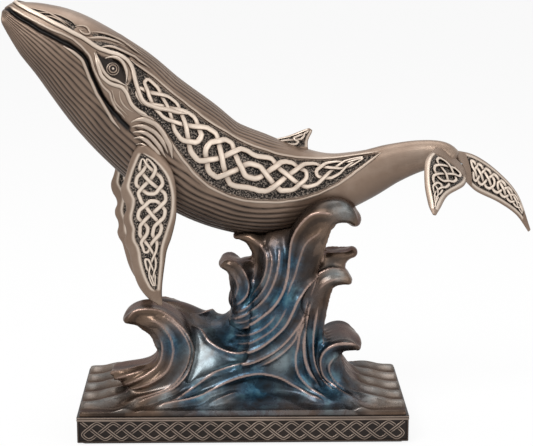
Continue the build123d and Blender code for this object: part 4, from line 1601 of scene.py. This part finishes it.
        def keep(run: list, strength: float) -> None:
            """Adds a run of points, weaker towards its ends.

            Args:
                run: points or None, in order.
                strength: the ridge's strength in its middle.
            """
            index = np.arange(len(run))
            taper = strength * (0.2 + 0.8 * ease(np.minimum(index, index[::-1]), 0, 14))
            for point, share in zip(run, taper):
                if point is not None:
                    points.append(point)
                    strengths.append(share)

        for strength, pixels in self.drawn:
            run = self.cast(tree, even_points(np.array(pixels, float), 1.0))
            keep(run, strength)
            behind = np.array([point for point in run if point is not None])
            if len(behind):
                behind[:, 1] = -behind[:, 1]
                keep(self.snap(tree, behind, 9.0), strength)
        for side, stations in self.crests:
            rows = even_points(self.crest_rows(stations[:-1]), 0.8)
            ahead = unit(np.gradient(rows[:, :2], axis=0))
            inner = 0.5 if rows[-1, 0] < rows[0, 0] else -0.5
            for share in self.flute_shares:
                place = rows[:, 0] - inner * rows[:, 2] * ahead[:, 1]
                rise = PLINTH_TOP + rows[:, 1] + inner * rows[:, 2] * ahead[:, 0]
                deep = side * BASE_DEPTH + share * 0.5 * rows[:, 3]
                keep(self.snap(tree, np.stack([place, deep, rise], axis=1), 3.0), 0.8)
        return np.array(points), np.array(strengths)

    def end_swell(self, points: Array, normals: Array) -> tuple:
        """The long ripples that run from the plinth's two ends towards the breakers.

        Args:
            points: the skin's points.
            normals: its directions there.
        Returns:
            How far each point belongs to the ripples, and their height, both from 0 to 1.
        """
        run = ease(np.abs(points[:, 0]), *self.ripple_run)
        low = 1.0 - ease(points[:, 2] - PLINTH_TOP, *self.ripple_rise)
        ends = run * low * ease(normals[:, 2], 0.2, 0.6) * ease(points[:, 2], PLINTH_TOP, PLINTH_TOP + 1.5)
        fan = points[:, 1] / (0.6 + 0.4 * run)
        return ends, (0.5 + 0.5 * np.cos(TAU * fan / self.swell_spacing)) ** 1.4

    def near_pixels(self, points: Array, places: tuple, tree: BVHTree) -> Array:
        """How near each point is to soft spots given by pixels and a reach in millimetres.

        Args:
            points: rows in millimetres.
            places: pixels, each with its reach.
            tree: the sea's plain form.
        Returns:
            One share from 0 to 1 for each point.
        """
        total = np.zeros(len(points))
        spots = self.cast(tree, np.array([place[:2] for place in places], float))
        for spot, (across, down, reach) in zip(spots, places):
            if spot is None:
                continue
            for mirror in (1.0, -1.0):
                gap = np.linalg.norm(points - spot * np.array([1.0, mirror, 1.0]), axis=1)
                total = np.maximum(total, np.exp(-(gap / reach) ** 2))
        return total

    def build(self, finish: bpy.types.Material) -> None:
        """Builds the sea in the given finish.

        Args:
            finish: the patinated bronze.
        """
        form = self.build_form()
        tree = BVHTree.FromObject(form, bpy.context.evaluated_depsgraph_get())
        points = read_points(form) / MM
        normals = self.normals(form)
        ridges, strengths = self.ridge_points(tree)
        finder = KDTree(len(ridges))
        for index, ridge in enumerate(ridges):
            finder.insert(ridge, index)
        finder.balance()
        nearest = [finder.find(point) for point in points]
        gap = np.array([found[2] for found in nearest])
        power = strengths[np.array([found[1] for found in nearest])]
        crest = power * np.exp(-gap / self.ridge_width)
        above = ease(points[:, 2], PLINTH_TOP + 0.2, PLINTH_TOP + 2.0)
        ends, wave = self.end_swell(points, normals)
        lift = self.ridge_height * (crest - 0.32) * above * (1.0 - ends)
        moved = points + normals * lift[:, None]
        moved[:, 2] += self.swell_height * (wave - 0.4) * ends
        write_points(form, moved)
        # Painted shade: relief falls below zero beside each ridge and in the troughs of the end ripples,
        # which the finish darkens.
        relief = power * (np.exp(-(gap / self.ridge_line) ** 2) - 0.8 * ease(gap, 0.8, 3.2) * (gap < 9.0))
        write_layer(form, "relief", relief * (1.0 - ends) + ends * (0.9 * wave - 0.6))
        write_layer(form, "pool", self.near_pixels(points, self.pools, tree))
        # Painted highlights: bright spots where a lamp's highlight shows on the smooth slopes, and a softer
        # band along the tops of the end ripples.
        highlight_spots = 0.7 * self.near_pixels(points, self.highlight_spots, tree) ** 2
        write_layer(form, "pale", np.maximum(highlight_spots, 0.5 * ends * wave))
        settle(form, finish, Slot.SEA, *self.nodes)


@dataclass
class Plinth:
    """The block under the sea: mouldings round its top and a knot frieze sunk in each side."""

    height: float = 13.3
    felt: float = 1.0
    corner: float = 0.5
    border: float = 1.0
    band: float = 1.5
    sink: float = 0.8
    rim: float = 0.3
    wall: float = 0.2
    period: float = 8.1
    frieze_rows: float = 1.5
    frieze_inset: float = 0.2
    ribbon: Ribbon = Ribbon(1.8, 0.45, 0.8, weave=0.22, groove=0.35, gloss=0.9)
    mouldings: tuple = ((0.45, 0.7), (1.6, 1.0))

    def build_block(self) -> bpy.types.Object:
        """Shapes a cube: bevels its edges and insets the frieze on its four sides.

        Returns:
            The block.
        """
        deselect()
        bpy.ops.mesh.primitive_cube_add(size=1.0)
        block = bpy.context.active_object
        block.name = "plinth_block"
        size = np.array([BASE_LENGTH, BASE_DEPTH, self.height])
        start = read_points(block) * size + np.array([0.0, 0.0, self.felt + self.height / 2])
        write_points(block, start)
        bpy.ops.object.mode_set(mode="EDIT")
        bpy.ops.mesh.select_all(action="SELECT")
        bpy.ops.mesh.bevel(offset=self.corner * MM, segments=3, affect="EDGES")
        bpy.ops.mesh.select_all(action="DESELECT")
        bpy.ops.object.mode_set(mode="OBJECT")
        for face in block.data.polygons:
            face.select = abs(face.normal.z) < 0.1 and face.area > 500 * MM * MM
        bpy.ops.object.mode_set(mode="EDIT")
        bpy.ops.mesh.inset(thickness=self.rim * MM, depth=0.0, use_individual=True)
        bpy.ops.mesh.inset(thickness=self.wall * MM, depth=-self.sink * MM, use_individual=True)
        bpy.ops.object.mode_set(mode="OBJECT")
        points = read_points(block) / MM
        sunk = (points[:, 2] < PLINTH_TOP - self.corner - 0.1) & (points[:, 2] > PLINTH_TOP / 2)
        points[:, 2] -= self.band * sunk
        write_points(block, points)
        deselect()
        block.select_set(True)
        bpy.ops.object.shade_smooth_by_angle(angle=math.radians(35))
        points = read_points(block) / MM
        out = np.maximum(np.abs(points[:, 0]) - BASE_LENGTH / 2, np.abs(points[:, 1]) - BASE_DEPTH / 2)
        relief = np.where(out > -0.05, 0.0, -0.6)
        relief = np.where(out < -self.sink / 2, -0.85, relief)
        write_layer(block, "relief", relief)
        return block

    def build_frieze(self) -> bpy.types.Object:
        """Lays a double-lined plait along each of the four sides, as one piece.

        Returns:
            The strands and the mouldings joined.
        """
        pieces = []
        middle = self.felt + (self.height - self.band) / 2
        room = self.height - self.band - 2 * self.border
        for angle, width, deep in ((0, BASE_LENGTH, BASE_DEPTH), (90, BASE_DEPTH, BASE_LENGTH),
                                   (180, BASE_LENGTH, BASE_DEPTH), (270, BASE_DEPTH, BASE_LENGTH)):
            turn = math.radians(angle)
            ahead = np.array([math.cos(turn), math.sin(turn), 0.0])
            out = np.array([math.sin(turn), -math.cos(turn), 0.0])
            length = width - 2 * (self.border + self.ribbon.width / 2)
            plait = Interlace(round(length / self.period), self.frieze_rows, inset=self.frieze_inset)
            for strand, closed in plait.strands(6):
                run = (strand[:, 0] - 0.5) * length
                rise = (strand[:, 1] - 0.5) * room + middle
                points = out * (deep / 2 - self.sink) + run[:, None] * ahead
                points = points + rise[:, None] * np.array([0.0, 0.0, 1.0])
                normals = np.repeat(out[None], len(points), axis=0)
                pieces.append(self.ribbon.lay("frieze", points, normals, strand[:, 2],
                                              np.ones(len(points)), closed))
        return join("plinth_frieze", pieces + [self.build_moulding(*row) for row in self.mouldings])

    def build_moulding(self, drop: float, width: float) -> bpy.types.Object:
        """A narrow raised line round the block.

        Args:
            drop: how far below the top it runs.
            width: its width.
        Returns:
            The line as a piece.
        """
        count = 64
        angle = (np.arange(count) + 0.5) / count * TAU
        out = np.stack([np.cos(angle), np.sin(angle), np.zeros(count)], axis=1)
        flat = np.array([BASE_LENGTH / 2, BASE_DEPTH / 2, 0.0]) - np.array([self.corner, self.corner, 0.0])
        points = np.sign(out) * flat + self.corner * out + np.array([0.0, 0.0, PLINTH_TOP - drop])
        line = Ribbon(width, 0.25, 0.4, gloss=0.5)
        return line.lay("moulding", points, out, np.zeros(count), np.ones(count), closed=True)

    def build(self, finish: bpy.types.Material, knots: bpy.types.Material) -> None:
        """Builds the block and its frieze.

        Args:
            finish: the block's dark bronze.
            knots: the frieze's rubbed bronze.
        """
        settle(self.build_block(), finish, Slot.PLINTH, "plinth")
        frieze = self.build_frieze()
        face_outwards(frieze)
        settle(frieze, knots, Slot.PLINTH)


@dataclass(frozen=True)
class Studio:
    """A white floor, a white surround and three soft lamps."""

    floor_size: float = 12.0
    floor_colour: str = "#FFFFFF"
    floor_glow: float = 0.9
    ambient: float = 0.42
    # Place in metres, size in metres and power in watts of each soft lamp
    lamps: tuple = (
        ("key_lamp", (-0.45, -0.65, 1.0), 0.5, 8.0),
        ("fill_lamp", (0.85, -0.7, 0.45), 0.8, 2.5),
        ("top_lamp", (0.05, 0.25, 1.1), 0.7, 3.5),
    )
    aim: tuple = (0.0, 0.0, 0.1)

    def build(self) -> None:
        """Builds the floor, the surround and the lamps."""
        deselect()
        bpy.ops.mesh.primitive_plane_add(size=self.floor_size)
        floor = bpy.context.active_object
        floor.name = "studio_floor"
        material, tree = new_tree("matt white paper sweep")
        share = add_node(tree, "ShaderNodeMath",
                         {0: self.seen(tree), 1: self.floor_glow}, operation="MULTIPLY")
        paper = add_node(tree, "ShaderNodeBsdfDiffuse", {"Color": linear(self.floor_colour)})
        glow = add_node(tree, "ShaderNodeEmission", {"Color": (1.0, 1.0, 1.0, 1.0), "Strength": 1.0})
        mixed = add_node(tree, "ShaderNodeMixShader",
                         {0: share.outputs[0], 1: paper.outputs[0], 2: glow.outputs[0]})
        add_node(tree, "ShaderNodeOutputMaterial", {"Surface": mixed.outputs[0]})
        floor.data.materials.append(material)
        self.build_surround()
        for name, place, size, power in self.lamps:
            lamp = bpy.data.lights.new(name, "AREA")
            lamp.size = size
            lamp.energy = power
            holder = bpy.data.objects.new(name, lamp)
            holder.location = place
            holder.rotation_euler = (Vector(self.aim) - Vector(place)).to_track_quat("-Z", "Y").to_euler()
            bpy.context.scene.collection.objects.link(holder)

    def seen(self, tree: bpy.types.NodeTree) -> bpy.types.NodeSocket:
        """Where the surround is seen, straight, in metal or through glass, rather than lighting.

        Args:
            tree: the floor's or the world's node tree.
        Returns:
            A socket that is 1 where it is seen.
        """
        path = add_node(tree, "ShaderNodeLightPath", {})
        share = path.outputs["Is Camera Ray"]
        for name in ("Is Glossy Ray", "Is Transmission Ray"):
            more = {0: share, 1: path.outputs[name]}
            share = add_node(tree, "ShaderNodeMath", more, operation="MAXIMUM").outputs[0]
        return share

    def build_surround(self) -> None:
        """A world that is white where it is seen and dimmer where it lights."""
        world = bpy.data.worlds.new("white_surround")
        world.use_nodes = True
        tree = world.node_tree
        tree.nodes.clear()
        plain = linear(self.floor_colour)
        dim = add_node(tree, "ShaderNodeBackground", {"Color": plain, "Strength": self.ambient})
        white = add_node(tree, "ShaderNodeBackground", {"Color": plain, "Strength": 1.0})
        mixed = add_node(tree, "ShaderNodeMixShader",
                         {0: self.seen(tree), 1: dim.outputs[0], 2: white.outputs[0]})
        add_node(tree, "ShaderNodeOutputWorld", {"Surface": mixed.outputs[0]})
        bpy.context.scene.world = world
        bpy.context.scene.view_settings.view_transform = "Standard"


def dress_nodes(finish: bpy.types.Material, *names: str) -> None:
    """Gives carried-over solids a finish.

    Args:
        finish: their material.
        names: their nodes.
    """
    for name in names:
        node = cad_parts[name]
        node.data.materials.clear()
        node.data.materials.append(finish)
        LOG.info("%s keeps its solid", name)


def main() -> None:
    """Builds the figurine piece by piece and sets up the photograph's view."""
    logging.basicConfig(level=logging.INFO, format="%(relativeCreated)d ms %(name)s %(message)s")
    camera = PhotoCamera()
    bronze = AntiqueBronze("antique cold-cast bronze").material()
    dark = AntiqueBronze("dark waxed bronze", hollow="#1D1714", wax="#352B25", metal="#463A33",
                         rubbed="#85746A", roughness=0.42).material()
    frieze = AntiqueBronze("dark bronze with a rubbed frieze", hollow="#15110F", wax="#2C2420",
                           metal="#4C4038", rubbed="#B8A596").material()
    sea = SeaPatina("patinated cast bronze").material()
    felt = PlainFinish("black wool felt", "#0B0B0C", "#242426", 0.0, 0.95, 0.4, 0.6).material()
    steel = PlainFinish("drawn steel rod", "#7F8285", "#B4B7B9", 1.0, 0.3, 0.6, 0.1).material()
    WhaleBody(camera).build(bronze)
    Fins(camera).build(bronze)
    Sea(camera).build(sea)
    Plinth().build(dark, frieze)
    dress_nodes(felt, "felt_pad")
    dress_nodes(steel, "support_rods", "flipper_pins", "tail_pin")
    Studio().build()
    camera.build()


if __name__ == "__main__":
    main()
